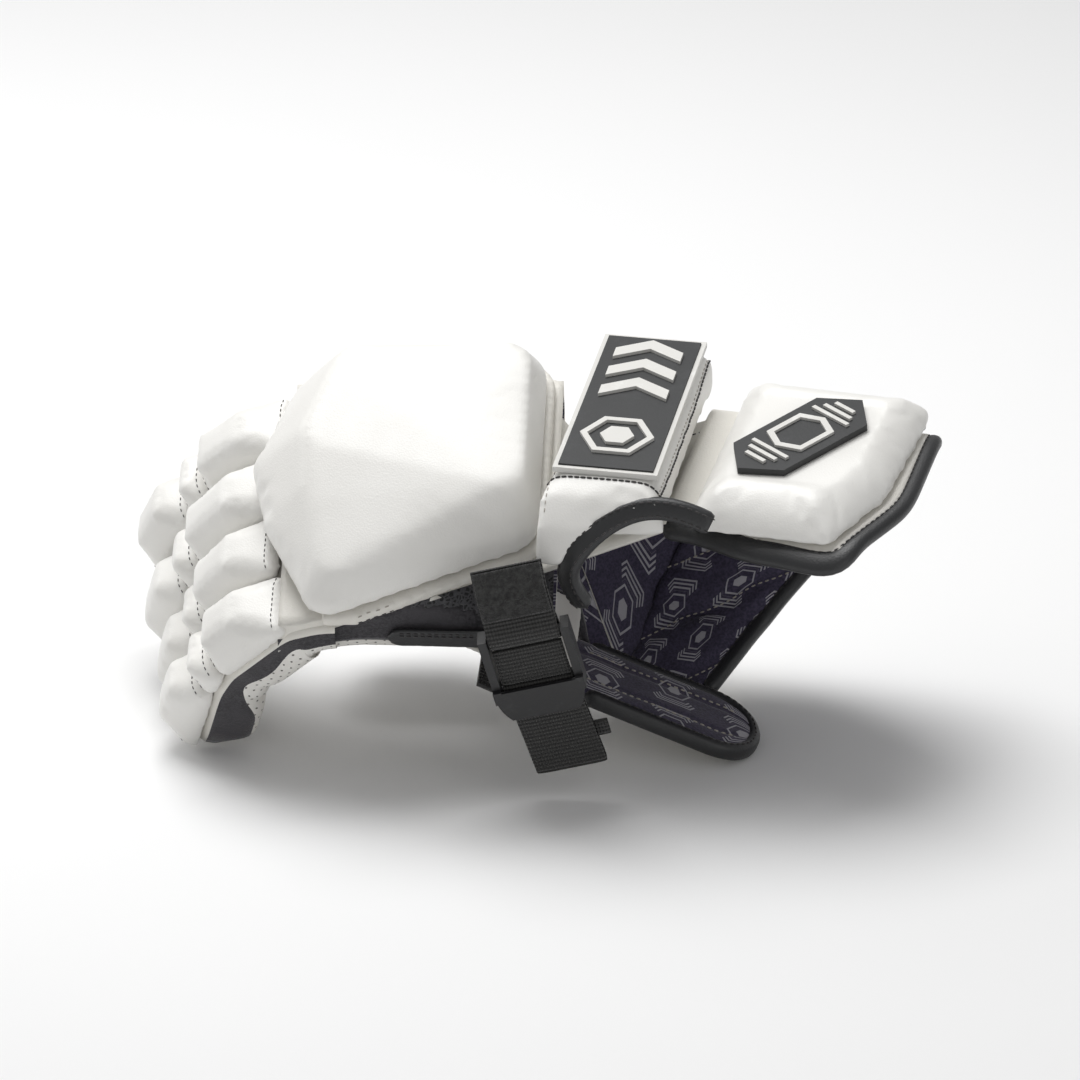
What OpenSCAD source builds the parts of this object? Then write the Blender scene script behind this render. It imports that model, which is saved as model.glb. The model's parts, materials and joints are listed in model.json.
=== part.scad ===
// Padded stick-sport glove for the left hand, at rest palm down on its fingertips and
// palm flap. +X runs from the fingertips to the cuff, +Y from the little finger to the
// thumb, +Z up. The modules are drawn round a point on the floor under the wrist. The
// last lines move the whole so that the origin is in the middle of its box, on the floor.

/* [Hand] */
// Roll of the hand about its own length, index side up
hand_roll = 28; // [22:1:32]
// Distance of the hand's middle plane from the drawing's middle towards the thumb side, at the wrist
hand_y = 16; // [14:1:18]
// Height of the hand's middle plane above the floor, at the wrist
hand_z = 86; // [84:1:88]
// Width of the backhand pad across its base
pad_w = 104; // [98:1:108]
// Front end of the backhand pad, ahead of the wrist
pad_front = 118; // [114:1:120]
// Rear end of the backhand pad, ahead of the wrist
pad_rear = 22; // [22:1:26]
// Height of the backhand pad's flat top above the middle plane
pad_top = 40; // [36:1:44]
// Radius of the backhand pad's corners in plan
pad_corner_r = 12; // [10:1:14]

/* [Fingers] */
// Distance between the middles of neighbouring fingers
finger_pitch = 26; // [26:1:28]
// Middle of the little finger, from the hand's middle line
little_y = -44; // [-46:1:-42]
// Knuckle seams ahead of the wrist: index, middle, ring, little
knuckle_x = [109, 112, 110, 106]; // [98:1:116]
// Height of the knuckle seams above the middle plane
knuckle_z = 2; // [0:1:3]
// Length of the first finger blocks: index, middle, ring, little
proximal_len = [41, 45, 41, 36]; // [32:1:46]
// Length of the short middle blocks
middle_len = [13, 14, 13, 12]; // [12:1:15]
// Length of the tip blocks
tip_len = [37, 38, 38, 33]; // [30:1:42]
// Slope of the first blocks below the hand's plane
proximal_curl = [46, 54, 56, 50]; // [40:1:58]
// Slope of the middle blocks
middle_curl = [58, 68, 70, 66]; // [54:1:72]
// Slope of the tip blocks
tip_curl = [68, 77, 78, 76]; // [64:1:80]
// Width of a finger block
block_w = 25; // [22:0.5:25]
// Height of a finger block above its seam
block_h = 16; // [13:1:17]
// Depth of a finger stall below the seam
stall_d = 19; // [17:1:20]

/* [Thumb] */
// Width of the thumb blocks
thumb_w = 32; // [28:1:34]

/* [Cuff] */
// Yaw of the cuff against the hand
cuff_yaw = 13; // [8:1:15]
// Roll of the cuff, thumb side up
cuff_roll = 9; // [4:1:11]
// Distance of the cuff's middle from the drawing's middle towards the thumb side
cuff_y = 28; // [26:1:30]
// Height of the cuff's roof above the floor
cuff_z = 104; // [102:1:106]
// Width of the cuff
cuff_w = 98; // [94:1:100]
// Rear end of the cuff behind the wrist
cuff_rear = 107; // [100:1:110]
// Thickness of the cuff pad
cuff_pad_t = 13; // [10:1:15]
// Length of the palm flap
flap_len = 66; // [60:1:68]
// Width of the palm flap at its root
flap_w = 38; // [34:1:40]
// Slope of the palm flap below level
flap_slope = 23; // [20:1:26]

/* [Wrist pad and strap] */
// Yaw of the wrist pad
wrist_yaw = 9; // [6:1:11]
// Width of the wrist pad along the glove
wrist_pad_w = 42; // [38:1:44]
// Thickness of the wrist pad
wrist_pad_t = 17; // [15:1:18]
// Width of the webbing
web_w = 25; // [20:1:28]
// Thickness of the webbing
web_t = 1.8; // [1.4:0.1:2]

/* [Hidden] */

INDEX = 0; MIDDLE = 1; RING = 2; LITTLE = 3;
PROXIMAL = 0; MID = 1; TIP = 2;
WHITE = [0.93, 0.92, 0.9];
CREAM = [0.88, 0.87, 0.84];
BLACK = [0.09, 0.09, 0.1];
NASH = [0.2, 0.2, 0.22];
PURPLE = [0.23, 0.2, 0.31];
FOAM = [0.75, 0.78, 0.8];
thumb_root = [-10, 62, 86];     // root of the thumb's seam line
thumb_joint = [-44, 67, 46];    // joint between the thumb's two blocks
thumb_end = [-93, 58, 31];      // end of the thumb's seam line
gap = 0.3;          // running clearance between stacked layers
far = 400;          // longer than the glove in any direction
skin = 2;           // thickness of covers and leather
wrist_pad_x = 9;    // middle of the wrist pad behind the wrist
wrist_top = 125;    // height of the wrist pad's top
wrist_roll = 7;     // roll of the wrist pad, thumb side up
flap_root = [-6, 12, 31];       // front end of the palm flap's top face
strap_root = [-24, -46, 69];    // hinge of the buckle under the wrist pad
strap_lean = 12;    // lean of the hanging strap, lower end inwards
strap_drift = 14;   // drift of the hanging strap, lower end towards the cuff
heel_top = [-50, 8, 56];        // front end of the palm heel
heel_low = [-9, 12, 36];        // rear end of the palm heel, at the palm flap

// ---------- shared shapes ----------

// Points of an arc about c
function arc(c, r, a0, a1, n = 5) =
    [for (k = [0 : n]) let (a = a0 + (a1 - a0) * k / n) c + r * [cos(a), sin(a)]];

// Outline of a rectangle from x = -l to 0, centred in y, with rounded corners
function round_box(l, w, r) = concat(
    arc([-r, w / 2 - r], r, 0, 90), arc([r - l, w / 2 - r], r, 90, 180),
    arc([r - l, r - w / 2], r, 180, 270), arc([-r, r - w / 2], r, 270, 360));

// A (y, z) outline drawn out along x from 0 to l
module along_x(l) rotate([90, 0, 90]) linear_extrude(l) children();

// An (x, z) outline drawn out along y, centred
module along_y(l) rotate([90, 0, 0]) linear_extrude(l, center = true) children();

// Everything above the floor
module above_floor() intersection() {
    children();
    translate([-far, -far, 0]) cube([2 * far, 2 * far, far]);
}

// A padded block on its seam plane: upright edge, then sloped ends and sides
module pad_block(l, w, h, rear, front, side) {
    edge = 0.3 * h;
    r = 3;
    hull() {
        linear_extrude(edge) polygon(round_box(l, w, r));
        translate([-rear, 0, h - 1])
            linear_extrude(1) polygon(round_box(l - rear - front, w - 2 * side, r));
    }
}

// Outline of a stall: flat under the pad, round at the palm side
function stall_outline(w, d, r) = concat(
    [[-w / 2, 0], [w / 2, 0]],
    [for (p = arc([w / 2 - r, r - d], r, 0, -90)) p],
    [for (p = arc([r - w / 2, r - d], r, -90, -180)) p]);

// A finger stall of length l whose ends lean back by the angles rear and front
module stall(l, w, d, rear, front, closed) {
    r = 8;
    wall = 1.5;
    slack = 0.6;
    reach = min(d + 1, 0.9 * (l - 2 * slack) / (tan(rear) + tan(front)));
    inner_l = closed ? l - 3 : l + 2;
    difference() {
        intersection() {
            translate([-l, 0, -gap]) along_x(l) polygon(stall_outline(w, d, r));
            along_y(w + 2) polygon([[-slack, 0], [-slack - reach * tan(rear), -reach],
                [slack - l + reach * tan(front), -reach], [slack - l, 0]]);
        }
        translate([closed ? 3 - l : -l - 1, 0, -gap - wall])
            along_x(inner_l) polygon(stall_outline(w - 2 * wall, d - 2 * wall, r - wall));
    }
}

// ---------- frames ----------

module in_hand() translate([0, hand_y, hand_z]) rotate([hand_roll, 0, 0]) children();

module in_wrist() translate([wrist_pad_x, hand_y, wrist_top]) rotate([0, 0, -wrist_yaw])
    rotate([wrist_roll, 0, 0]) children();

module in_cuff() translate([0, cuff_y, cuff_z]) rotate([0, 0, -cuff_yaw])
    rotate([cuff_roll, 0, 0]) children();

module in_flap() translate(flap_root) rotate([0, flap_slope, 0]) children();

module in_strap() translate(strap_root) rotate([strap_lean, -strap_drift, 0]) children();

module in_heel() between(heel_low, heel_top, [0, -0.3, 1]) children();

function finger_y(i) = little_y + (LITTLE - i) * finger_pitch;
function curl_dir(p) = [-cos(p), 0, -sin(p)];
function seg_curl(i, k) = k == PROXIMAL ? proximal_curl[i] : k == MID ? middle_curl[i] : tip_curl[i];
function seg_len(i, k) = k == PROXIMAL ? proximal_len[i] : k == MID ? middle_len[i] : tip_len[i];
function seg_root(i, k) = k == PROXIMAL ? [-knuckle_x[i], finger_y(i), knuckle_z]
    : seg_root(i, k - 1) + seg_len(i, k - 1) * curl_dir(seg_curl(i, k - 1));

module at_segment(i, k) in_hand() translate(seg_root(i, k)) rotate([0, -seg_curl(i, k), 0]) children();

// Places children with x pointing from q to p and z as near to up as it can be
module between(p, q, up) {
    x = (p - q) / norm(p - q);
    y0 = cross(up, x);
    y = y0 / norm(y0);
    z = cross(x, y);
    multmatrix([[x.x, y.x, z.x, p.x], [x.y, y.y, z.y, p.y], [x.z, y.z, z.z, p.z], [0, 0, 0, 1]])
        children();
}

// ---------- backhand ----------

pad_under = 19;         // height of the pad's underside at its rear end
pad_tilt = 7.1;         // slope of the pad's underside towards the fingers

// Corners of the pad's base and, in step with them, of its top: rear, front, then rear
// again round the little-finger side, where the top draws in towards the wrist
pad_base = [[-pad_rear, pad_w / 2 - 2], [-pad_front + 10, pad_w / 2 - 8], [-pad_front - 2, 16],
    [-pad_front + 3, -24], [-pad_front + 18, -pad_w / 2 - 1], [-pad_rear, 22 - pad_w / 2]];
pad_crown = [[-pad_rear - 5, pad_w / 2 - 9, 0], [-pad_front + 28, pad_w / 2 - 10, -1],
    [-pad_front + 18, 14, -3], [-pad_front + 19, -20, -7], [-pad_front + 24, -pad_w / 2 + 5, -13],
    [-pad_rear - 5, 36 - pad_w / 2, 0]];

// Centre of a corner round of radius r that touches the corner c from inside
function corner_at(c, r) = [c.x + (c.x < -70 ? r : -r) * 0.75, c.y - sign(c.y) * r * 0.75];

// The plane of the pad's underside
module on_underside() translate([-pad_rear, 0, pad_under]) rotate([0, -pad_tilt, 0])
    translate([pad_rear, 0, 0]) children();

// Corner rounds of the pad's base, o outside it, between two heights off the underside
module base_rounds(o, low, high) on_underside() for (b = pad_base)
    translate([corner_at(b, pad_corner_r).x, corner_at(b, pad_corner_r).y, low])
        cylinder(r = pad_corner_r + o, h = high - low, $fn = 28);

// The pad's dome, smaller all round by inset, with its underside raised by lift
module dome(inset, lift) {
    edge = 6;
    crown_r = 9;
    hull() {
        base_rounds(-inset, lift, edge);
        for (c = pad_crown) let (at = corner_at(c, crown_r))
            translate([at.x, at.y, pad_top + c.z - 1 - inset])
                cylinder(r = crown_r - inset, h = 1, $fn = 28);
    }
}

module backhand_cover() color(WHITE) in_hand() difference() {
    dome(0, 0);
    dome(skin, -1);
}

plate_t = 2;

module backhand_foam() color(FOAM) in_hand() dome(skin + gap, plate_t + 2 * gap);

module backhand_plate() color(CREAM) in_hand() hull() base_rounds(-4, gap, gap + plate_t);

// ---------- hand body ----------

base_t = 5;             // thickness of the padded sheet under the backhand pad
base_front = 103;       // its front edge, behind the knuckles
hand_side = 50;         // half width of the hand's body
corner_r = 13;          // rounding of the hand's long edges
palm_z = -17;           // outside of the palm below the middle plane
palm_rim = 14;          // height of the palm's turned-up sides
thumb_space = [64, 16]; // where the palm stops for the thumb's root
front_slant = 9;        // how much further back the hand's front edge is at the little finger

// Plan of the hand between two distances ahead of the wrist
module hand_plan(rear, front) translate([0, 0, -far / 2]) linear_extrude(far)
    polygon([[-rear, far / 4], [-front, far / 4], [-front, 0],
        [front_slant - front, -hand_side - 5], [-rear, -hand_side - 5]]);

// Outline of an upside-down tray of half width w, with its top at z = 0
function tray(w, r, depth) = concat(
    arc([w - r, -r], r, 0, 90), arc([r - w, -r], r, 90, 180), [[-w, -depth], [w, -depth]]);

// Padded sheet under the backhand pad, its stitched edge showing all round
module hand_base() color(CREAM) in_hand() intersection() {
    hull() base_rounds(1, -base_t - gap, -gap);
    hand_plan(0, base_front);
}

// Leather palm with its sides turned up
module palm_leather() color(WHITE) in_hand() intersection() {
    difference() {
        hand_plan(16, 90);
        translate([-thumb_space.x, thumb_space.y, -far / 2]) cube(far);
    }
    translate([-far / 2, 0, palm_z]) along_x(far) mirror([0, 1]) difference() {
        polygon(tray(hand_side, corner_r, palm_rim));
        translate([0, -skin]) polygon(tray(hand_side - skin, corner_r - skin, far));
    }
}

band_rim = palm_z + palm_rim + 0.5;     // top of the palm's rim
band_t = 2.6;                           // thickness of the side wall and the mesh

// Soft side wall above the palm's rim, little-finger side
module side_band() color(NASH) in_hand() translate([0, band_t / 2 - hand_side, 0]) along_y(band_t)
    polygon([[-92, band_rim], [-92, 1.5], [-62, 3.5], [-16, band_rim + 3], [-16, band_rim]]);

// Triangle of air mesh from the side wall up to the backhand pad's drawn-in edge
module mesh_gusset() color(BLACK) in_hand() hull()
    for (p = [[-60, -48.5, 5], [-18, -48.5, band_rim + 5], [-18, -35, 10]])
        translate(p) sphere(r = band_t / 2, $fn = 8);

// Smooth leather wear patch on the palm's rim, with a round front end
module heel_patch() color(BLACK) in_hand() translate([0, -hand_side - gap - skin / 2, 0]) along_y(skin)
    polygon(concat(arc([-68, -4.5], 4.5, 90, 270), [[-18, -9], [-18, 0]]));

// Leather from the palm down to the root of the palm flap
module palm_heel() color(WHITE) in_heel()
    linear_extrude(skin) polygon(round_box(norm(heel_top - heel_low), 46, 6));

// Side wall between the back of the hand, the thumb's root and the cuff
module thumb_gusset() color(NASH) in_cuff() intersection() {
    cuff_band(-0.5, -skin - 0.5, 3, far);
    along_y(far) polygon([[4, -3], [22, -3], [17, -30], [-15, -74], [-17, -70], [-8, -40]]);
}

// Lining inside the side wall and under the wrist
module hand_lining() color(PURPLE) in_cuff() intersection() {
    cuff_band(-skin - 1, -skin - 1 - lining_t, 20, far);
    along_y(far) polygon([[-10, -20], [21, -20], [16, -30], [-16, -74], [-18, -70], [-12, -40]]);
}

// Base layer under the wrist pad
module wrist_bridge() color(CREAM) in_wrist() translate([16, 3, -wrist_pad_t - skin - 3.5])
    linear_extrude(3) polygon(round_box(34, 96, 6));

// ---------- fingers ----------

block_gap = 1;      // gap between neighbouring blocks at their seam

module finger_pad(i, k) {
    rear = k == PROXIMAL ? 13 : k == MID ? 3.5 : 7;
    front = k == TIP ? 7 : 3.5;
    h = k == MID ? block_h - 3 : block_h;
    w = k == TIP ? block_w - 1 : block_w;
    color(WHITE) above_floor() at_segment(i, k) translate([-block_gap / 2, 0, 0])
        pad_block(seg_len(i, k) - block_gap, w, h, rear, front, 5);
}

// Lean of a stall's end that leaves room for its joint to close
function stall_lean(i, k) = k == PROXIMAL ? 30 : (seg_curl(i, k) - seg_curl(i, k - 1) + bend_max(k)) / 2 + 1;
function bend_max(k) = k == MID ? 40 : 27;

module finger_stall(i, k) color(NASH) above_floor() at_segment(i, k)
    stall(seg_len(i, k), block_w - 2, stall_d, stall_lean(i, k),
        k == TIP ? 8 : stall_lean(i, k + 1), k == TIP);

module index_proximal_pad() finger_pad(INDEX, PROXIMAL);
module index_middle_pad() finger_pad(INDEX, MID);
module index_tip_pad() finger_pad(INDEX, TIP);
module middle_proximal_pad() finger_pad(MIDDLE, PROXIMAL);
module middle_middle_pad() finger_pad(MIDDLE, MID);
module middle_tip_pad() finger_pad(MIDDLE, TIP);
module ring_proximal_pad() finger_pad(RING, PROXIMAL);
module ring_middle_pad() finger_pad(RING, MID);
module ring_tip_pad() finger_pad(RING, TIP);
module little_proximal_pad() finger_pad(LITTLE, PROXIMAL);
module little_middle_pad() finger_pad(LITTLE, MID);
module little_tip_pad() finger_pad(LITTLE, TIP);
module index_proximal_stall() finger_stall(INDEX, PROXIMAL);
module index_middle_stall() finger_stall(INDEX, MID);
module index_tip_stall() finger_stall(INDEX, TIP);
module middle_proximal_stall() finger_stall(MIDDLE, PROXIMAL);
module middle_middle_stall() finger_stall(MIDDLE, MID);
module middle_tip_stall() finger_stall(MIDDLE, TIP);
module ring_proximal_stall() finger_stall(RING, PROXIMAL);
module ring_middle_stall() finger_stall(RING, MID);
module ring_tip_stall() finger_stall(RING, TIP);
module little_proximal_stall() finger_stall(LITTLE, PROXIMAL);
module little_middle_stall() finger_stall(LITTLE, MID);
module little_tip_stall() finger_stall(LITTLE, TIP);

// ---------- thumb ----------

thumb_up = [0, 0.85, 0.5];      // outward side of the thumb
thumb_h = 15;                   // height of the thumb blocks
thumb_d = 20;                   // depth of the thumb's stall
thumb_gap = 4.5;                // how far each block stops short of the thumb's joint

module in_thumb_base() between(thumb_root, thumb_joint, thumb_up) children();
module in_thumb_tip() between(thumb_joint, thumb_end, thumb_up) children();

module thumb_base_pad() color(WHITE) in_thumb_base() translate([-block_gap, 0, 0])
    pad_block(norm(thumb_joint - thumb_root) - block_gap - thumb_gap, thumb_w, thumb_h, 8, 7, 6);

module thumb_tip_pad() color(WHITE) in_thumb_tip() translate([-thumb_gap, 0, 0])
    pad_block(norm(thumb_end - thumb_joint) - thumb_gap, thumb_w - 1, thumb_h, 7, 9, 6);

module thumb_base_stall() color(NASH) in_thumb_base()
    stall(norm(thumb_joint - thumb_root) - thumb_gap, thumb_w - 2, thumb_d, 12, 8, false);

module thumb_tip_stall() color(NASH) in_thumb_tip() translate([-thumb_gap, 0, 0])
    stall(norm(thumb_end - thumb_joint) - thumb_gap, thumb_w - 2, thumb_d, 8, 8, true);

// ---------- wrist pad ----------

wrist_front = wrist_pad_w / 2;

arch = [20, -40];               // centre (x, z) of the arch in the wrist pad's near end
arch_r = 34;

// (y, z) outline of the wrist pad: flat top, near end rolled down round the wrist
wrist_outline = [[50, -15], [50, -6], [46, 0], [-40, 0], [-52, -5], [-59, -14], [-62, -27],
    [-57, -29], [-50, -21], [-40, -wrist_pad_t], [46, -wrist_pad_t]];

module wrist_pad() color(WHITE) in_wrist() difference() {
    intersection() {
        translate([-wrist_front, 0, 0]) along_x(wrist_pad_w) polygon(wrist_outline);
        along_y(far) polygon([[-wrist_front, -far], [-wrist_front, -6], [4 - wrist_front, 0],
            [wrist_front - 4, 0], [wrist_front, -6], [wrist_front, -far]]);
    }
    translate([arch.x, -48, arch.y]) rotate([90, 0, 0]) cylinder(r = arch_r, h = 40);
}

// Leather edging round the arch
module wrist_binding() color(BLACK) in_wrist() translate([arch.x, -50, arch.y]) rotate([90, 0, 0])
    linear_extrude(8) polygon(concat(arc([0, 0], arch_r - gap, 88, 190, 12),
        arc([0, 0], arch_r - 5, 190, 88, 12)));

module wrist_pad_plate() color(CREAM) in_wrist() translate([wrist_front - 3, 4, -wrist_pad_t - skin])
    linear_extrude(skin - gap) polygon(round_box(wrist_pad_w - 6, 80, 6));

badge_w = 33;
badge_l = 88;
badge_t = 2.6;
border = 1.6;

// Rubber plate set in a thin border on the wrist pad
module wrist_badge() color(BLACK) in_wrist() translate([-badge_w / 2, 3 - badge_l / 2, gap])
    cube([badge_w, badge_l, badge_t]);

module wrist_badge_border() color(WHITE) in_wrist() translate([0, 3, gap]) linear_extrude(badge_t - 0.6)
    difference() {
        square([badge_w + 2 * (border + 0.1), badge_l + 2 * (border + 0.1)], center = true);
        square([badge_w + 0.2, badge_l + 0.2], center = true);
    }

// Raised marks on the badge: a six-sided ring and three chevrons
module wrist_badge_marks() color("white") in_wrist() translate([0, 3, gap + badge_t]) linear_extrude(1.2) {
    translate([0, -24]) difference() {
        circle(r = 13, $fn = 6);
        circle(r = 10.5, $fn = 6);
    }
    translate([0, -24]) circle(r = 6, $fn = 6);
    for (n = [0 : 2]) translate([0, 2 + 13 * n])
        polygon([[-12, 0], [0, 7], [12, 0], [12, 6], [0, 13], [-12, 6]]);
}

// ---------- cuff ----------

cuff_side = cuff_w / 2 - 1;     // half width inside the corners
cuff_front = 29;                // front edge of the roof, where the cuff bends on the wrist
roof_t = 3;
lining_t = 1.6;
wall_seam = 25;                 // where the roof panel meets the wall panel
wall_foot = -54;                // how far round its lower arc the wall runs
near_r = 9;                     // rounding of the roof's near edge
near_c = [near_r + 4 - cuff_side, -near_r];
far_r = 16;                     // rounding between the roof and the wall

// Cross-section path of the cuff, o outside the shell's outer face, from angle start on
// the roof's near edge
function cuff_path(o, start = 140) = concat(arc(near_c, near_r + o, start, 90),
    arc([cuff_side - far_r, -far_r], far_r + o, 90, 0), arc([cuff_side - 50, -50], 50 + o, 0, wall_foot, 9));

function reversed(v) = [for (k = [len(v) - 1 : -1 : 0]) v[k]];

// The cuff's cross-section between two offsets, from y0 to y1, drawn out along the cuff
module cuff_band(outer, inner, y0, y1, start = 140) translate([-30, 0, 0]) along_x(160) intersection() {
    polygon(concat(cuff_path(outer, start), reversed(cuff_path(inner, start))));
    translate([y0, -far / 2]) square([y1 - y0, far]);
}

// Side view of the cuff, its rear end moved back by r: the wall is cut back at a slant
module cuff_side_view(r) along_y(far)
    polygon([[cuff_front, 10], [cuff_rear + r, 10], [cuff_rear + r, -6], [cuff_rear - 4 + r, -12],
        [33 + 1.3 * r, -99], [2, -99], [4, -80], [25, -30], [cuff_front, -roof_t]]);

corner_cut = [90, -44];         // where the slanted cut of the rear end starts, near side
corner_slant = 64;              // angle of that cut to the cuff's length

// What the slanted cut leaves of the cuff, the cut moved out by r
module inside_corner_cut(r) translate([corner_cut.x, corner_cut.y, 0]) rotate(corner_slant)
    translate([-far, -r, -far]) cube([2 * far, 2 * far, 2 * far]);

module cuff_roof() color(WHITE) in_cuff() intersection() {
    cuff_band(0, -roof_t, -far, wall_seam);
    cuff_side_view(0);
    inside_corner_cut(0);
}

module cuff_wall() color(WHITE) in_cuff() intersection() {
    cuff_band(0, -roof_t, wall_seam + gap, far);
    cuff_side_view(0);
}

module cuff_lining() color(PURPLE) in_cuff() intersection() {
    cuff_band(-roof_t - gap, -roof_t - gap - lining_t, -far, far);
    cuff_side_view(0);
    inside_corner_cut(0);
}

bind_w = 6;         // width of the leather binding
bind_out = 1.2;     // how far the binding stands proud of what it binds
cuff_t = roof_t + gap + lining_t;

// Leather edging along the near edge of the roof and round the rear end
module cuff_binding() color(BLACK) in_cuff() {
    near_l = corner_cut.x + 2 - cuff_front;     // length of the edging ahead of the cut
    difference() {
        intersection() {
            cuff_band(bind_out, -cuff_t - bind_out, -far, far, 185);
            cuff_side_view(bind_w);
            inside_corner_cut(bind_w);
        }
        intersection() {
            translate([-gap, 0, 0]) cuff_side_view(2 * gap);
            inside_corner_cut(gap);
        }
    }
    translate([cuff_front, 0, 0]) along_x(near_l)
        polygon(concat(arc(near_c, near_r + bind_out, 142, 185),
            reversed(arc(near_c, near_r - cuff_t - bind_out, 142, 185))));
}

pad_foot = [[43, -39], [43, 43], [104, 43], [101, -8], [89, -39]];     // plan of the cuff pad's foot
pad_crest = [[51, -31], [51, 35], [96, 35], [93, -8], [83, -31]];      // and of its flat top
pad_round = 3;          // rounding of its corners

// Padded block on the roof, its rear end slanted like the roof's
module cuff_pad() color(WHITE) in_cuff() translate([0, 0, gap]) hull() {
    linear_extrude(0.3 * cuff_pad_t) offset(pad_round) polygon(pad_foot);
    translate([0, 0, cuff_pad_t - 1]) linear_extrude(1) offset(pad_round) polygon(pad_crest);
}

module at_cuff_badge() in_cuff() translate([70, 3, gap + cuff_pad_t + gap]) rotate(58) children();

// Six-sided rubber plate on the cuff pad
module hexagon(l, w) polygon([[-l / 2, 0], [-l / 3, w / 2], [l / 3, w / 2],
    [l / 2, 0], [l / 3, -w / 2], [-l / 3, -w / 2]]);

module cuff_badge() color(BLACK) at_cuff_badge() linear_extrude(2.4) hexagon(60, 25);

module cuff_badge_ribs() color("white") at_cuff_badge() translate([0, 0, 2.4]) linear_extrude(1) {
    difference() {
        hexagon(24, 17);
        hexagon(19, 13);
    }
    for (s = [-1, 1], n = [0 : 2]) translate([s * (14.5 + 3.5 * n), 0])
        square([1.6, 17 - 4 * n], center = true);
}

// ---------- palm flap ----------

flap_t = 5;
flap_end_r = 15;

// Outline of the flap in plan, o outside its own edge
function flap_outline(o) = concat([[o, -flap_w / 2 - o], [o, flap_w / 2 + o]],
    arc([flap_len - flap_end_r, 2], flap_end_r + o, 90, -90, 12));

module flap_shell() color(WHITE) above_floor() in_flap() translate([0, 0, -flap_t - lining_t - gap])
    linear_extrude(flap_t) polygon(flap_outline(0));

module flap_lining() color(PURPLE) above_floor() in_flap() translate([0, 0, -lining_t])
    linear_extrude(lining_t) polygon(flap_outline(0));

module flap_binding() color(BLACK) above_floor() in_flap()
    translate([0, 0, 0.4 - 6]) linear_extrude(6) intersection() {
        difference() {
            polygon(flap_outline(3.5));
            polygon(flap_outline(gap));
        }
        translate([0, -far]) square([far, 2 * far]);
    }

// ---------- strap and buckle ----------

bar_r = 1.6;            // radius of the buckle's bars
bar_gap = 0.08;         // running clearance of the webbing on a bar
low_bar = -21;          // lower bar below the upper one
loop_r = bar_r + bar_gap + web_t;

module web_loop() rotate([0, 90, 0]) translate([0, 0, -web_w / 2]) difference() {
    cylinder(r = loop_r, h = web_w, $fn = 32);
    translate([0, 0, -1]) cylinder(r = bar_r + bar_gap, h = web_w + 2, $fn = 32);
}

// Sewn webbing that holds the buckle's upper bar
module strap_anchor() color(BLACK) in_strap() {
    web_loop();
    translate([-web_w / 2, -loop_r, bar_r + 0.6]) cube([web_w, 2 * loop_r, 7]);
    translate([-web_w / 2, -web_t, 7]) cube([web_w, web_t, 19]);
}

// Two-bar ladder buckle with a round tongue below
module ladder_buckle() color(BLACK) in_strap() {
    rail_w = 3;
    for (s = [-1, 1]) translate([s * (web_w / 2 + 0.5 + rail_w / 2), 0, low_bar / 2])
        cube([rail_w, 7, 5 - low_bar], center = true);
    for (z = [0, low_bar]) translate([-web_w / 2 - 1, 0, z]) rotate([0, 90, 0])
        cylinder(r = bar_r, h = web_w + 2, $fn = 32);
    translate([0, -5.3, low_bar]) intersection() {
        rotate([-90, 0, 0]) cylinder(r = web_w / 2 + rail_w, h = 1.4);
        translate([-far / 2, 0, -10]) cube([far, 5, 12]);
    }
    for (s = [-1, 1]) translate([s * (web_w / 2 + 0.5 + rail_w / 2) - rail_w / 2, -5.3, low_bar - 2.5])
        cube([rail_w, 3, 5]);
}

tail_l = 33;        // hanging length of the folded strap end
tail_lean = 4;      // slant of the hanging end
ply_gap = 0.6;      // air between the two plies

// Webbing folded double round the lower bar, with a small pull tab at its edge
module strap_tail() color(BLACK) in_strap() translate([0, 0, low_bar]) {
    web_loop();
    translate([-web_w / 2, -0.2, -6]) cube([web_w, 2 * web_t, 6 - bar_r - 0.6]);
    translate([0, 0, -4]) rotate([0, -tail_lean, 0]) translate([-web_w / 2, -0.2, -tail_l]) {
        for (y = [0, web_t + ply_gap]) translate([0, y, 0]) cube([web_w, web_t, tail_l]);
        cube([web_w, 2 * web_t + ply_gap, 3]);
        translate([web_w - 1, 0, 9]) cube([6, web_t, 6]);
    }
}

// Strap sewn across the palm heel from the thumb side
module palm_strap() color(BLACK) in_heel() translate([-8 - web_w, -33, -3 - web_t])
    cube([web_w, 57, web_t]);

// The point the modules are drawn round, seen from the middle of the glove's box
drawn_from = [24.864, -19.116, 0];
translate(drawn_from) {
    backhand_cover();
    backhand_foam();
    backhand_plate();
    hand_base();
    side_band();
    mesh_gusset();
    heel_patch();
    palm_leather();
    palm_heel();
    thumb_gusset();
    wrist_bridge();
    wrist_binding();
    hand_lining();
    index_proximal_pad();
    index_middle_pad();
    index_tip_pad();
    middle_proximal_pad();
    middle_middle_pad();
    middle_tip_pad();
    ring_proximal_pad();
    ring_middle_pad();
    ring_tip_pad();
    little_proximal_pad();
    little_middle_pad();
    little_tip_pad();
    index_proximal_stall();
    index_middle_stall();
    index_tip_stall();
    middle_proximal_stall();
    middle_middle_stall();
    middle_tip_stall();
    ring_proximal_stall();
    ring_middle_stall();
    ring_tip_stall();
    little_proximal_stall();
    little_middle_stall();
    little_tip_stall();
    thumb_base_pad();
    thumb_tip_pad();
    thumb_base_stall();
    thumb_tip_stall();
    wrist_pad();
    wrist_pad_plate();
    wrist_badge();
    wrist_badge_border();
    wrist_badge_marks();
    cuff_roof();
    cuff_wall();
    cuff_lining();
    cuff_binding();
    cuff_pad();
    cuff_badge();
    cuff_badge_ribs();
    flap_shell();
    flap_lining();
    flap_binding();
    strap_anchor();
    ladder_buckle();
    strap_tail();
    palm_strap();
}
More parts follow.
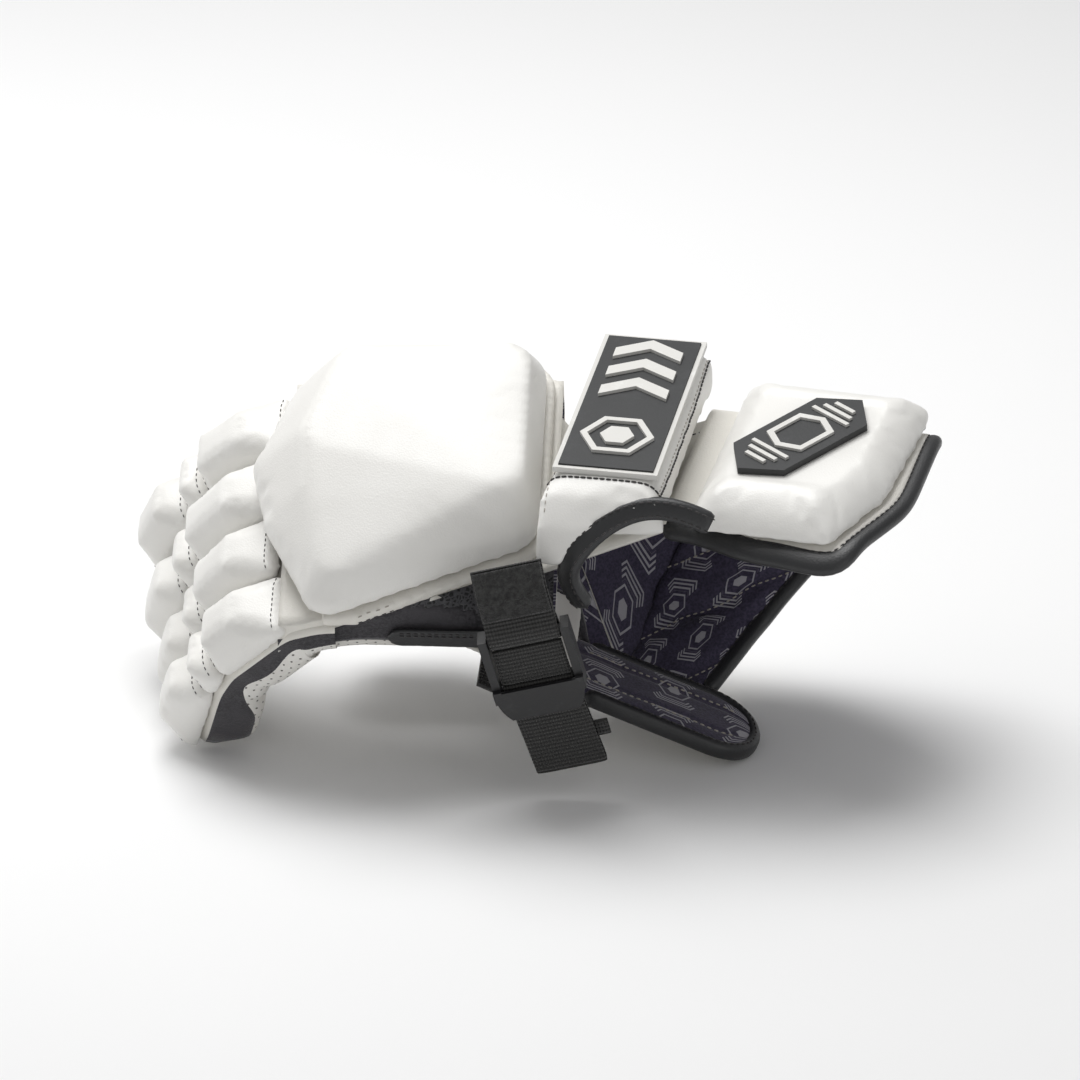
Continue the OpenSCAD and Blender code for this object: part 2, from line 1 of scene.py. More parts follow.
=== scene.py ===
"""Looks of a padded stick-sport glove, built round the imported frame. Metres, +Z up."""

import json
import math

import bmesh
import bpy
import numpy as np
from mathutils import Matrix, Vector, noise
from mathutils.bvhtree import BVHTree


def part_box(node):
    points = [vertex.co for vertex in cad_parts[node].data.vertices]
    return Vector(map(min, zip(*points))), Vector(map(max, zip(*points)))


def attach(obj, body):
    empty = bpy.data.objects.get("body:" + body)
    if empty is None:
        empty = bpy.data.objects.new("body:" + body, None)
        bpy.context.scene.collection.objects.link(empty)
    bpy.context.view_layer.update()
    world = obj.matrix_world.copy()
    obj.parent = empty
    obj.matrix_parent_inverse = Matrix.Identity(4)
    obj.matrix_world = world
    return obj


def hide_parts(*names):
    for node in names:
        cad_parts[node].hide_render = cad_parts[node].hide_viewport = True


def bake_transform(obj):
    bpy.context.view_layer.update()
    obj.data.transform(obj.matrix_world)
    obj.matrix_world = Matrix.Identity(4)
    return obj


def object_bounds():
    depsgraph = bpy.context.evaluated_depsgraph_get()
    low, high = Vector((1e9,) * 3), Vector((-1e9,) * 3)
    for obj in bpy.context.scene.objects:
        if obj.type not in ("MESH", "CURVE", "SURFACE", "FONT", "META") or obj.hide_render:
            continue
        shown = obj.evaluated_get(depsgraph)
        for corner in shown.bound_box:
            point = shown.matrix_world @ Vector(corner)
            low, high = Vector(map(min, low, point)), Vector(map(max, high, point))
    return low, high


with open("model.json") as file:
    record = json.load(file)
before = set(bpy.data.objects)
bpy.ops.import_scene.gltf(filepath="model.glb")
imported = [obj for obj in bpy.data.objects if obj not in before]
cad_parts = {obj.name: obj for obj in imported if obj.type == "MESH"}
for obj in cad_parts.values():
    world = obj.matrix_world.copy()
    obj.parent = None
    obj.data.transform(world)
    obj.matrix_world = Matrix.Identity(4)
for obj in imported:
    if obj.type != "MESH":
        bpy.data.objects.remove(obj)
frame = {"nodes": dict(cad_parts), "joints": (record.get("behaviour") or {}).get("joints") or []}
cad_low, cad_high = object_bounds()
JOINTS = {j["name"]: j for j in frame["joints"]}
MM = 0.001
FINGERS = ("index", "middle", "ring", "little")
TOP, SIDE, PALM, INSIDE = 0, 1, 2, 3  # material zones of the sewn tubes


# ---------------------------------------------------------------- axes and CAD readings


def unit(v):
    v = np.asarray(v, float)
    return v / np.linalg.norm(v)


def smooth_step(t):
    t = np.clip(t, 0, 1)
    return t * t * (3 - 2 * t)


class Axes:
    """Three axes at an origin. out() takes points into the row frame, into() brings them back."""

    def __init__(self, origin, x, y):
        z = unit(np.cross(x, y))
        self.origin = np.array(origin, float)
        self.rows = np.array([unit(x), np.cross(z, unit(x)), z])

    def out(self, points):
        return np.asarray(points, float) @ self.rows + self.origin

    def into(self, points):
        return (np.asarray(points, float) - self.origin) @ self.rows.T

    def at(self, origin):
        moved = Axes(origin, self.rows[0], self.rows[1])
        return moved


def pivot(joint):
    return np.array(JOINTS[joint]["pos_m"], float)


def axis(joint):
    return unit(JOINTS[joint]["axis"])


def corners(*nodes):
    return np.array([v.co for n in nodes for v in frame["nodes"][n].data.vertices], float)


def span(axes, *nodes):
    """Lowest and highest corner of the nodes along the axes."""
    points = axes.into(corners(*nodes))
    return points.min(0), points.max(0)


def flat_normal(node):
    """Outward normal of the node's largest flat side."""
    areas = {}
    for face in frame["nodes"][node].data.polygons:
        key = tuple(round(c, 2) for c in face.normal)
        areas[key] = areas.get(key, 0) + face.area
    return unit(max(areas, key=areas.get))


def block_axes(node, root, across):
    """Axes of a padded block: x back along the finger, y across, z out of its seam plane."""
    up = -flat_normal(node)
    return Axes(root, np.cross(unit(across), up), across)


UP = np.array([0, 0, 1.0])
hand_across = -axis("index_knuckle")
HAND = Axes(pivot("index_knuckle"), (1, 0, 0), hand_across)
wrist_across = -axis("wrist_pad_lift")
WRIST = Axes(pivot("wrist_pad_lift"), np.cross(wrist_across, UP), wrist_across)
cuff_across = axis("wrist_bend")
CUFF = Axes(pivot("wrist_bend"), np.cross(cuff_across, UP), cuff_across)
flap_across = -axis("palm_flap_fold")
flap_up = flat_normal("flap_lining")
FLAP = Axes(pivot("palm_flap_fold"), np.cross(flap_across, flap_up * np.sign(flap_up[2])), flap_across)
web_across = -axis("buckle_swing")
web_up = unit(pivot("buckle_swing") - pivot("strap_end_swing"))
STRAP = Axes(pivot("buckle_swing"), web_across, np.cross(web_up, web_across))


# ---------------------------------------------------------------- mesh helpers


def new_object(name, mesh):
    obj = bpy.data.objects.new(name, mesh)
    bpy.context.scene.collection.objects.link(obj)
    return obj


def add_mesh(name, points, faces, materials, zones=None, uv=None):
    """A mesh piece. zones gives each face its material, uv gives each face corner its place in metres."""
    mesh = bpy.data.meshes.new(name)
    mesh.from_pydata([tuple(p) for p in np.asarray(points)], [], [tuple(f) for f in faces])
    for m in materials:
        mesh.materials.append(m)
    if zones is not None:
        mesh.polygons.foreach_set("material_index", np.asarray(zones, np.int32))
    mesh.polygons.foreach_set("use_smooth", np.ones(len(mesh.polygons), bool))
    if uv is not None:
        layer = mesh.uv_layers.new(name="weave")
        layer.data.foreach_set("uv", np.asarray(uv, np.float32).ravel())
    tidy = bmesh.new()
    tidy.from_mesh(mesh)
    bmesh.ops.recalc_face_normals(tidy, faces=tidy.faces)
    tidy.to_mesh(mesh)
    tidy.free()
    mesh.update()
    return new_object(name, mesh)


def grid_faces(rows, columns, start=0, wrap=False):
    """Faces of a grid of rows x columns points, as (faces, row and column of each corner)."""
    faces, places = [], []
    for i in range(rows - 1):
        for j in range(columns if wrap else columns - 1):
            k = (j + 1) % columns
            faces.append((start + i * columns + j, start + (i + 1) * columns + j,
                          start + (i + 1) * columns + k, start + i * columns + k))
            places.append(((i, j), (i + 1, j), (i + 1, j + 1), (i, j + 1)))
    return faces, places


def lengths(points):
    """Distance along a line of points."""
    steps = np.linalg.norm(np.diff(points, axis=0), axis=1)
    return np.concatenate([[0], np.cumsum(steps)])


def grid_uv(grid, places, wrap=False):
    middle = grid[:, grid.shape[1] // 2]
    across = grid[grid.shape[0] // 2]
    if wrap:
        across = np.vstack([across, across[:1]])
    u, v = lengths(middle), lengths(across)
    return [(u[i], v[j]) for corner in places for i, j in corner]


def grid_normals(grid):
    du = np.gradient(grid, axis=0)
    dv = np.gradient(grid, axis=1)
    n = np.cross(du, dv)
    return n / np.maximum(np.linalg.norm(n, axis=2, keepdims=True), 1e-12)


def slab(name, grid, thickness, materials, zones=(0, 1, 0), flip=False):
    """A closed sheet: the grid is its top, and zones are the materials of top, bottom and rim."""
    rows, columns = grid.shape[:2]
    normals = grid_normals(grid) * (-1 if flip else 1)
    depth = np.broadcast_to(np.asarray(thickness, float), (rows, columns))[..., None]
    points = np.concatenate([grid.reshape(-1, 3), (grid - normals * depth).reshape(-1, 3)])
    count = rows * columns
    top, places = grid_faces(rows, columns)
    bottom = [tuple(reversed([i + count for i in f])) for f in top]
    border = ([i * columns for i in range(rows)]
              + [(rows - 1) * columns + j for j in range(1, columns)]
              + [i * columns + columns - 1 for i in range(rows - 2, -1, -1)]
              + [j for j in range(columns - 2, 0, -1)])
    rim = [(border[k], border[(k + 1) % len(border)], border[(k + 1) % len(border)] + count,
            border[k] + count) for k in range(len(border))]
    uv = grid_uv(grid, places)
    mirrored = [uv[k + 3 - c] for k in range(0, len(uv), 4) for c in range(4)]
    kinds = [zones[0]] * len(top) + [zones[1]] * len(bottom) + [zones[2]] * len(rim)
    return add_mesh(name, points, top + bottom + rim, materials, kinds, uv + mirrored + [(0, 0)] * 4 * len(rim))


def tube(name, rings, materials, zone=None, caps=(True, True)):
    """A skin over rings of points. zone(row, column) gives a face's material."""
    rows, columns = rings.shape[:2]
    faces, places = grid_faces(rows, columns, wrap=True)
    kinds = [zone(i[0][0], i[0][1]) if zone else 0 for i in places]
    uv = grid_uv(rings, places, wrap=True)
    for end, wanted in zip((0, rows - 1), caps):
        if wanted:
            faces.append(tuple(end * columns + j for j in range(columns)))
            kinds.append(kinds[min(end, rows - 2) * columns])
            uv += [(0, 0)] * columns
    return add_mesh(name, rings.reshape(-1, 3), faces, materials, kinds, uv)


def resample(points, step=None, count=None):
    """Points at even distances along a line. Columns past the third only come along."""
    points = np.asarray(points, float)
    along = lengths(points[:, :3])
    count = count or max(3, int(along[-1] / step) + 1)
    places = np.linspace(0, along[-1], count)
    return np.stack([np.interp(places, along, points[:, k]) for k in range(points.shape[1])], 1)


def relaxed(points, passes=4):
    """A line with its corners rounded off, its ends kept."""
    points = np.array(points, float)
    for _ in range(passes):
        points[1:-1] = (points[:-2] + 2 * points[1:-1] + points[2:]) / 4
    return points


def sweep(path, normals, shape):
    """Rings of a cross-section (across, up) carried along a path. shape is m x 2 or n x m x 2."""
    path = np.asarray(path, float)
    tangent = np.gradient(path, axis=0)
    tangent /= np.linalg.norm(tangent, axis=1, keepdims=True)
    normals = np.broadcast_to(np.asarray(normals, float), path.shape)
    side = np.cross(tangent, normals)
    side /= np.linalg.norm(side, axis=1, keepdims=True)
    up = np.cross(side, tangent)
    shape = np.broadcast_to(shape, (len(path),) + np.shape(shape)[-2:])
    return path[:, None] + shape[..., :1] * side[:, None] + shape[..., 1:] * up[:, None]


def oval(across, up, count=18, power=2.4):
    """A rounded closed outline of half sizes across and up."""
    a = np.linspace(0, 2 * math.pi, count, endpoint=False)
    c, s = np.cos(a), np.sin(a)
    return np.stack([across * np.sign(c) * abs(c) ** (2 / power), up * np.sign(s) * abs(s) ** (2 / power)], 1)


def rounded_box(y0, y1, z0, z1, r_low, r_high, count):
    """Even points round a box with rounded corners, from the middle of its top."""
    def arc(cy, cz, r, a):
        t = np.radians(np.linspace(a, a - 90, 7))
        return np.stack([cy + r * np.cos(t), cz + r * np.sin(t)], 1)
    middle = (y0 + y1) / 2
    line = np.concatenate([[[middle, z1]], arc(y1 - r_high, z1 - r_high, r_high, 90),
                           arc(y1 - r_low, z0 + r_low, r_low, 0), arc(y0 + r_low, z0 + r_low, r_low, -90),
                           arc(y0 + r_high, z1 - r_high, r_high, -180), [[middle, z1]]])
    return resample(line, count=count + 1)[:-1]


def tree_of(*objects):
    points, faces = [], []
    for obj in objects:
        start = len(points)
        points += [obj.matrix_world @ v.co for v in obj.data.vertices]
        faces += [[start + i for i in f.vertices] for f in obj.data.polygons]
    return BVHTree.FromPolygons(points, faces)


def drop(points, direction, tree, reach=30 * MM):
    """Points moved along direction on to the surface in tree, and the surface's normals there."""
    direction = Vector(direction).normalized()
    kept, normals = [], []
    for p in points:
        hit, normal, _, _ = tree.ray_cast(Vector(p) - direction * reach, direction, 2 * reach)
        if hit is not None:
            kept.append(hit)
            normals.append(normal if normal.dot(direction) < 0 else -normal)
    return np.array(kept), np.array(normals)


# ---------------------------------------------------------------- materials


class Paint:
    """A node material under construction, with short calls for the nodes used here."""

    def __init__(self, name, roughness):
        self.material = bpy.data.materials.new(name)
        self.material.use_nodes = True
        self.tree = self.material.node_tree
        self.shader = self.tree.nodes["Principled BSDF"]
        self.shader.inputs["Roughness"].default_value = roughness
        self.height = None

    def node(self, kind, **inputs):
        made = self.tree.nodes.new(kind)
        for key, value in inputs.items():
            self.link(value, made.inputs[key.replace("_", " ")])
        return made

    def link(self, value, socket):
        if isinstance(value, bpy.types.NodeSocket):
            self.tree.links.new(value, socket)
        elif isinstance(value, (tuple, list)) and len(value) == 3 and socket.type == "RGBA":
            socket.default_value = (*value, 1)
        else:
            socket.default_value = value

    def math(self, operation, *values):
        made = self.tree.nodes.new("ShaderNodeMath")
        made.operation = operation
        for value, socket in zip(values, made.inputs):
            self.link(value, socket)
        return made.outputs[0]

    def place(self):
        """Object-space position, in metres."""
        return self.tree.nodes.new("ShaderNodeTexCoord").outputs["Object"]

    def cloth(self):
        """(along, across) of a sewn sheet, in metres."""
        uv = self.tree.nodes.new("ShaderNodeUVMap")
        uv.uv_map = "weave"
        split = self.node("ShaderNodeSeparateXYZ", Vector=uv.outputs[0])
        return split.outputs[0], split.outputs[1]

    def noise(self, scale, detail=3.0, roughness=0.5):
        return self.node("ShaderNodeTexNoise", Vector=self.place(), Scale=scale, Detail=detail,
                         Roughness=roughness).outputs[0]

    def cells(self, scale, feature="F1"):
        made = self.node("ShaderNodeTexVoronoi", Vector=self.place(), Scale=scale)
        made.feature = feature
        return made.outputs[0]

    def ramp(self, value, low, high):
        made = self.tree.nodes.new("ShaderNodeMapRange")
        made.interpolation_type = "SMOOTHSTEP"
        self.link(value, made.inputs[0])
        made.inputs[1].default_value = low
        made.inputs[2].default_value = high
        return made.outputs[0]

    def mix(self, share, a, b):
        made = self.tree.nodes.new("ShaderNodeMix")
        made.data_type = "RGBA"
        self.link(share, made.inputs["Factor"])
        self.link(a, made.inputs[6])
        self.link(b, made.inputs[7])
        return made.outputs[2]

    def bump(self, height, distance, strength=1.0):
        made = self.node("ShaderNodeBump", Height=height, Distance=distance, Strength=strength)
        if self.height is not None:
            self.link(self.height, made.inputs["Normal"])
        self.height = made.outputs[0]

    def done(self, colour, roughness=None, sheen=0.0, coat=0.0):
        self.link(colour, self.shader.inputs["Base Color"])
        if roughness is not None:
            self.link(roughness, self.shader.inputs["Roughness"])
        self.shader.inputs["Sheen Weight"].default_value = sheen
        self.shader.inputs["Sheen Roughness"].default_value = 0.4
        self.shader.inputs["Coat Weight"].default_value = coat
        self.shader.inputs["Coat Roughness"].default_value = 0.35
        if self.height is not None:
            self.link(self.height, self.shader.inputs["Normal"])
        return self.material

    def painted_crevice_shade(self, colour, dark):
        """colour, darkened in folds and along seams where the surface curves inward: painted shade."""
        point = self.tree.nodes.new("ShaderNodeNewGeometry").outputs["Pointiness"]
        return self.mix(self.ramp(point, 0.5, 0.42), colour, dark)


def leather(name, light, dark, roughness, grain, crease, coat=0.0):
    """Coated leather: soft colour change, fine pebble grain, faint creases and painted shade in its folds and seams.
    """
    p = Paint(name, roughness)
    cloud = p.noise(22.0, 4.0)
    colour = p.mix(p.ramp(cloud, 0.3, 0.7), light, tuple(0.86 * a + 0.14 * b for a, b in zip(light, dark)))
    # painted shade: the colour darkens towards dark in folds and along seams
    colour = p.painted_crevice_shade(colour, dark)
    p.bump(p.cells(1500.0), 0.00006 * grain)
    p.bump(p.noise(220.0, 4.0, 0.55), 0.0004 * crease, 0.25)
    return p.done(colour, p.math("ADD", roughness - 0.06, p.math("MULTIPLY", p.noise(140.0), 0.14)), coat=coat)


def perforated_leather():
    """Palm leather with rows of small punched holes."""
    p = Paint("perforated_leather", 0.5)
    u, v = p.cloth()
    pitch = 3.2 * MM
    row = p.math("DIVIDE", u, pitch)
    shift = p.math("MULTIPLY", p.math("MODULO", p.math("FLOOR", row), 2.0), 0.5)
    x = p.math("SUBTRACT", p.math("FRACT", row), 0.5)
    y = p.math("SUBTRACT", p.math("FRACT", p.math("ADD", p.math("DIVIDE", v, pitch), shift)), 0.5)
    distance = p.math("SQRT", p.math("ADD", p.math("MULTIPLY", x, x), p.math("MULTIPLY", y, y)))
    solid = p.ramp(distance, 0.09, 0.15)
    base = p.mix(p.ramp(p.noise(35.0), 0.3, 0.7), (0.78, 0.765, 0.73), (0.68, 0.66, 0.62))
    p.bump(p.noise(700.0), 0.0002, 0.4)
    p.bump(solid, 0.0005)
    return p.done(p.mix(solid, (0.14, 0.13, 0.12), base))


def nash_cloth(name, light, dark):
    """Brushed suede-like cloth."""
    p = Paint(name, 0.95)
    fibre = p.noise(900.0, 6.0, 0.7)
    colour = p.mix(p.ramp(fibre, 0.35, 0.65), dark, light)
    colour = p.mix(p.ramp(p.noise(45.0), 0.35, 0.7), colour, light)
    p.bump(fibre, 0.0003, 0.7)
    return p.done(colour, sheen=0.35)


def air_mesh():
    """Open air mesh: a net of threads over dark holes."""
    p = Paint("air_mesh", 0.7)
    net = p.cells(620.0, "DISTANCE_TO_EDGE")
    thread = p.ramp(net, 0.26, 0.1)
    p.bump(thread, 0.0006)
    return p.done(p.mix(thread, (0.003, 0.003, 0.004), (0.05, 0.05, 0.055)), sheen=0.1)


def webbing():
    """Ribbed nylon webbing: ribs across, and warp threads along."""
    p = Paint("webbing", 0.62)
    u, v = p.cloth()
    rib = p.math("SINE", p.math("MULTIPLY", u, 2 * math.pi / (1.5 * MM)))
    warp = p.math("SINE", p.math("MULTIPLY", v, 2 * math.pi / (1.1 * MM)))
    height = p.math("ADD", p.math("MULTIPLY", rib, 0.6), p.math("MULTIPLY", warp, 0.4))
    p.bump(height, 0.00035)
    p.bump(p.noise(1400.0), 0.0002, 0.5)
    colour = p.mix(p.ramp(height, -0.7, 0.8), (0.006, 0.006, 0.006), (0.034, 0.033, 0.031))
    return p.done(colour, sheen=0.15)


def loop_patch():
    """Fuzzy loop side of a hook-and-loop patch."""
    p = Paint("loop_patch", 0.95)
    fuzz = p.noise(520.0, 8.0, 0.8)
    p.bump(fuzz, 0.0014)
    colour = p.mix(p.ramp(fuzz, 0.35, 0.68), (0.004, 0.004, 0.004), (0.05, 0.05, 0.048))
    return p.done(colour, sheen=0.25)


def printed_lining():
    """Brushed knit lining with a repeat of six-sided rings and bars."""
    p = Paint("printed_lining", 0.9)
    u, v = p.cloth()
    cell = 27 * MM
    row = p.math("DIVIDE", u, cell)
    shift = p.math("MULTIPLY", p.math("MODULO", p.math("FLOOR", row), 2.0), 0.5)
    x = p.math("ABSOLUTE", p.math("SUBTRACT", p.math("FRACT", row), 0.5))
    y = p.math("ABSOLUTE", p.math("SUBTRACT", p.math("FRACT", p.math("ADD", p.math("DIVIDE", v, cell), shift)), 0.5))
    slant = p.math("ADD", p.math("MULTIPLY", x, 0.866), p.math("MULTIPLY", y, 0.5))
    size = p.math("MAXIMUM", slant, y)
    ring = p.ramp(p.math("ABSOLUTE", p.math("SUBTRACT", size, 0.2)), 0.016, 0.008)
    core = p.ramp(size, 0.1, 0.09)
    bars = p.ramp(p.math("ABSOLUTE", p.math("SUBTRACT", p.math("FRACT", p.math("MULTIPLY", size, 19.0)), 0.5)), 0.26, 0.2)
    wing = p.math("MULTIPLY", bars, p.math("MULTIPLY", p.ramp(size, 0.245, 0.25), p.ramp(size, 0.425, 0.42)))
    wing = p.math("MULTIPLY", wing, p.math("GREATER_THAN", y, x))
    mark = p.math("MAXIMUM", wing, p.math("MAXIMUM", ring, core))
    knit = p.noise(1100.0, 4.0)
    cloth = p.mix(p.ramp(knit, 0.3, 0.7), (0.028, 0.024, 0.046), (0.066, 0.056, 0.1))
    p.bump(knit, 0.0003, 0.6)
    return p.done(p.mix(p.math("MULTIPLY", mark, 0.75), cloth, (0.5, 0.49, 0.52)), sheen=0.3)


def moulded(name, light, dark, roughness, scale=900.0):
    """Moulded rubber or nylon: fine mould texture, faint scuffs."""
    p = Paint(name, roughness)
    p.bump(p.noise(scale, 3.0), 0.00012, 0.5)
    scuff = p.ramp(p.noise(90.0, 8.0, 0.75), 0.52, 0.7)
    p.bump(scuff, 0.0001, 0.3)
    return p.done(p.mix(scuff, dark, light), p.math("ADD", roughness, p.math("MULTIPLY", scuff, 0.15)))


def thread(name, light, dark):
    """Twisted sewing thread."""
    p = Paint(name, 0.6)
    twist = p.noise(3000.0, 2.0)
    p.bump(twist, 0.0001)
    return p.done(p.mix(twist, dark, light), sheen=0.2)


def foam_block():
    """Closed-cell foam."""
    p = Paint("foam", 0.9)
    cells = p.cells(700.0)
    p.bump(cells, 0.0004)
    return p.done(p.mix(p.ramp(cells, 0.1, 0.6), (0.42, 0.47, 0.52), (0.56, 0.6, 0.64)))


def insert_sheet():
    """Translucent-looking polyethylene sheet with a rolled surface."""
    p = Paint("insert", 0.45)
    streak = p.noise(300.0, 2.0)
    p.bump(streak, 0.0001)
    return p.done(p.mix(streak, (0.6, 0.6, 0.57), (0.74, 0.74, 0.7)))


# each leather's second colour tints its random tone a little and is the painted shade in its folds and seams
WHITE_PU = leather("white_pu", (0.83, 0.82, 0.79), (0.50, 0.48, 0.44), 0.4, 0.7, 0.5, coat=0.15)
BASE_PU = leather("base_pu", (0.74, 0.72, 0.67), (0.42, 0.40, 0.35), 0.5, 1.3, 1.6)
BLACK_LEATHER = leather("black_leather", (0.019, 0.0195, 0.021), (0.007, 0.007, 0.008), 0.45, 1.2, 1.2, coat=0.15)
PERFORATED = perforated_leather()
NASH = nash_cloth("nash", (0.055, 0.052, 0.058), (0.018, 0.017, 0.02))
AIR_MESH = air_mesh()
WEBBING = webbing()
LOOP_PATCH = loop_patch()
LINING = printed_lining()
BLACK_RUBBER = moulded("black_rubber", (0.04, 0.041, 0.043), (0.018, 0.019, 0.02), 0.5)
WHITE_RUBBER = moulded("white_rubber", (0.76, 0.755, 0.73), (0.66, 0.65, 0.62), 0.4)
BUCKLE_NYLON = moulded("buckle_nylon", (0.035, 0.035, 0.037), (0.014, 0.014, 0.015), 0.4, 1500.0)
DARK_THREAD = thread("dark_thread", (0.05, 0.045, 0.045), (0.012, 0.011, 0.011))
PALE_THREAD = thread("pale_thread", (0.5, 0.47, 0.42), (0.3, 0.27, 0.23))
FOAM = foam_block()
INSERT = insert_sheet()


# ---------------------------------------------------------------- threads


def stitches(name, runs, material, pitch=3.0 * MM, length=1.9 * MM, radius=0.3 * MM):
    """Sewing thread along runs of (points, normals), each stitch a small capsule on the surface."""
    around, stations = 6, ((-1.0, 0.35), (-0.7, 0.9), (0.0, 1.0), (0.7, 0.9), (1.0, 0.35))
    points, faces = [], []
    for line, normals in runs:
        if len(line) < 2:
            continue
        both = resample(np.hstack([line, normals]), step=pitch)
        where, normal = both[:, :3], both[:, 3:]
        tangent = np.gradient(where, axis=0)
        for p, t, n in zip(where, tangent, normal):
            t, n = unit(t), unit(n)
            s = np.cross(t, n)
            start = len(points)
            for along, fat in stations:
                for k in range(around):
                    a = 2 * math.pi * k / around
                    lift = radius * (0.35 + fat * math.sin(a))
                    points.append(p + t * along * length / 2 + s * radius * fat * math.cos(a) + n * lift)
            quads, _ = grid_faces(len(stations), around, start, wrap=True)
            faces += quads
            faces.append(tuple(start + k for k in range(around)))
            faces.append(tuple(start + (len(stations) - 1) * around + k for k in range(around)))
    return add_mesh(name, points, faces, [material])


def sew(name, lines, direction, target, material, body, **sizes):
    """Stitches dropped along direction on to the target piece."""
    tree = tree_of(target)
    runs = [drop(resample(line, step=1.5 * MM), direction, tree) for line in lines]
    piece = stitches(name, [r for r in runs if len(r[0]) > 1], material, **sizes)
    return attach(piece, body)


# ---------------------------------------------------------------- padded pieces


def solid_copy(node, name, hull=False):
    """The node's closed solid as a new piece, its split corners welded."""
    shape = bmesh.new()
    shape.from_mesh(frame["nodes"][node].data)
    bmesh.ops.remove_doubles(shape, verts=shape.verts, dist=1e-5)
    if hull:
        found = bmesh.ops.convex_hull(shape, input=shape.verts)
        bmesh.ops.delete(shape, geom=found["geom_interior"] + found["geom_unused"], context="VERTS")
        inner = [f for f in shape.faces if f not in set(found["geom"])]
        bmesh.ops.delete(shape, geom=inner, context="FACES_ONLY")
    mesh = bpy.data.meshes.new(name)
    shape.to_mesh(mesh)
    shape.free()
    return new_object(name, mesh)


def settle(obj):
    """Replaces the mesh by what its modifiers make of it."""
    graph = bpy.context.evaluated_depsgraph_get()
    made = bpy.data.meshes.new_from_object(obj.evaluated_get(graph))
    obj.modifiers.clear()
    obj.data = made
    return obj


def soften(obj, voxel, passes):
    """Remeshes the solid evenly and rounds its edges."""
    remesh = obj.modifiers.new("even", "REMESH")
    remesh.mode = "VOXEL"
    remesh.voxel_size = voxel
    rounding = obj.modifiers.new("round", "SMOOTH")
    rounding.factor = 0.5
    rounding.iterations = passes
    return settle(obj)


def read_points(obj):
    flat = np.zeros(len(obj.data.vertices) * 3)
    obj.data.vertices.foreach_get("co", flat)
    return flat.reshape(-1, 3)


def write_points(obj, points):
    obj.data.vertices.foreach_set("co", np.asarray(points, np.float32).ravel())
    obj.data.update()


FRAMES = 20
PRESSURE = 4.0


def inflate(jobs):
    """Blows the pads up a little as cloth, all in one run. A job is (piece, axes, seam, scale, cap):
    points lower than seam along the axes stay put, and none moves further than cap."""
    held = []
    for obj, axes, seam, scale, cap in jobs:
        rest = read_points(obj)
        centre = rest.mean(0)
        write_points(obj, centre + (rest - centre) * scale)
        pinned = obj.vertex_groups.new(name="seam")
        low = np.nonzero(axes.into(rest)[:, 2] < seam)[0]
        pinned.add([int(i) for i in low], 1.0, "REPLACE")
        cloth = obj.modifiers.new("cloth", "CLOTH")
        cloth.settings.vertex_group_mass = "seam"
        cloth.settings.use_pressure = True
        cloth.settings.uniform_pressure_force = PRESSURE
        cloth.settings.quality = 4
        cloth.settings.tension_stiffness = 18
        cloth.settings.compression_stiffness = 18
        cloth.settings.shear_stiffness = 8
        cloth.settings.bending_stiffness = 0.6
        cloth.settings.effector_weights.gravity = 0
        held.append((rest, centre))
    scene = bpy.context.scene
    for frame_number in range(1, FRAMES + 1):
        scene.frame_set(frame_number)
    graph = bpy.context.evaluated_depsgraph_get()
    for (obj, axes, seam, scale, cap), (rest, centre) in zip(jobs, held):
        blown = obj.evaluated_get(graph).data
        flat = np.zeros(len(blown.vertices) * 3)
        blown.vertices.foreach_get("co", flat)
        move = centre + (flat.reshape(-1, 3) - centre) / scale - rest
        size = np.linalg.norm(move, axis=1, keepdims=True)
        move *= cap * np.tanh(size / cap) / np.maximum(size, 1e-9)
        obj.modifiers.clear()
        obj.vertex_groups.clear()
        write_points(obj, rest + move)
    scene.frame_set(1)


def pucker(obj, axes, seam, depth, reach, scale):
    """Gathers the cover near its seam, where the thread pulls it in."""
    points = read_points(obj)
    normals = np.zeros(len(points) * 3)
    obj.data.vertices.foreach_get("normal", normals)
    normals = normals.reshape(-1, 3)
    height = axes.into(points)[:, 2] - seam
    near = np.exp(-np.clip(height, 0, None) / reach)
    wave = np.array([noise.noise(Vector(p) * scale) for p in points])
    soft = np.array([noise.noise(Vector(p) * 55.0) for p in points])
    write_points(obj, points + normals * (wave * depth * near + soft * 0.1 * MM)[:, None])


def refine(obj):
    finer = obj.modifiers.new("finer", "SUBSURF")
    finer.levels = finer.render_levels = 1
    return settle(obj)


def finish_pad(obj, material, body, nodes, slot="white_pu"):
    refine(obj)
    obj.data.materials.clear()
    obj.data.materials.append(material)
    obj.data.polygons.foreach_set("use_smooth", np.ones(len(obj.data.polygons), bool))
    return place(obj, body, slot, *nodes)


def place(obj, body, slot, *nodes):
    """Puts a piece on its body, with the nodes it stands for hidden; slot, its material slot, is not used."""
    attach(obj, body)
    for node in nodes:
        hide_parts(node)
    return obj


def soft_piece(node, body, material, slot, voxel, passes, depth=0.2 * MM, scale=300.0):
    """A sewn part in the node's shape, its edges rounded and its surface a little uneven."""
    obj = soften(solid_copy(node, node + "_soft"), voxel, passes)
    points = read_points(obj)
    normals = np.zeros(len(points) * 3)
    obj.data.vertices.foreach_get("normal", normals)
    wave = np.array([noise.noise(Vector(p) * scale) for p in points])
    write_points(obj, points + normals.reshape(-1, 3) * (wave * depth)[:, None])
    return finish_pad(obj, material, body, [node], slot)


def thicken(obj, thickness, inside=None):
    """Gives a skin its cloth thickness, inwards, with its own material inside if one is given."""
    wall = obj.modifiers.new("wall", "SOLIDIFY")
    wall.thickness = thickness
    wall.offset = -1
    wall.use_even_offset = False
    if inside is not None:
        obj.data.materials.append(inside)
        wall.material_offset = len(obj.data.materials)
    return settle(obj)


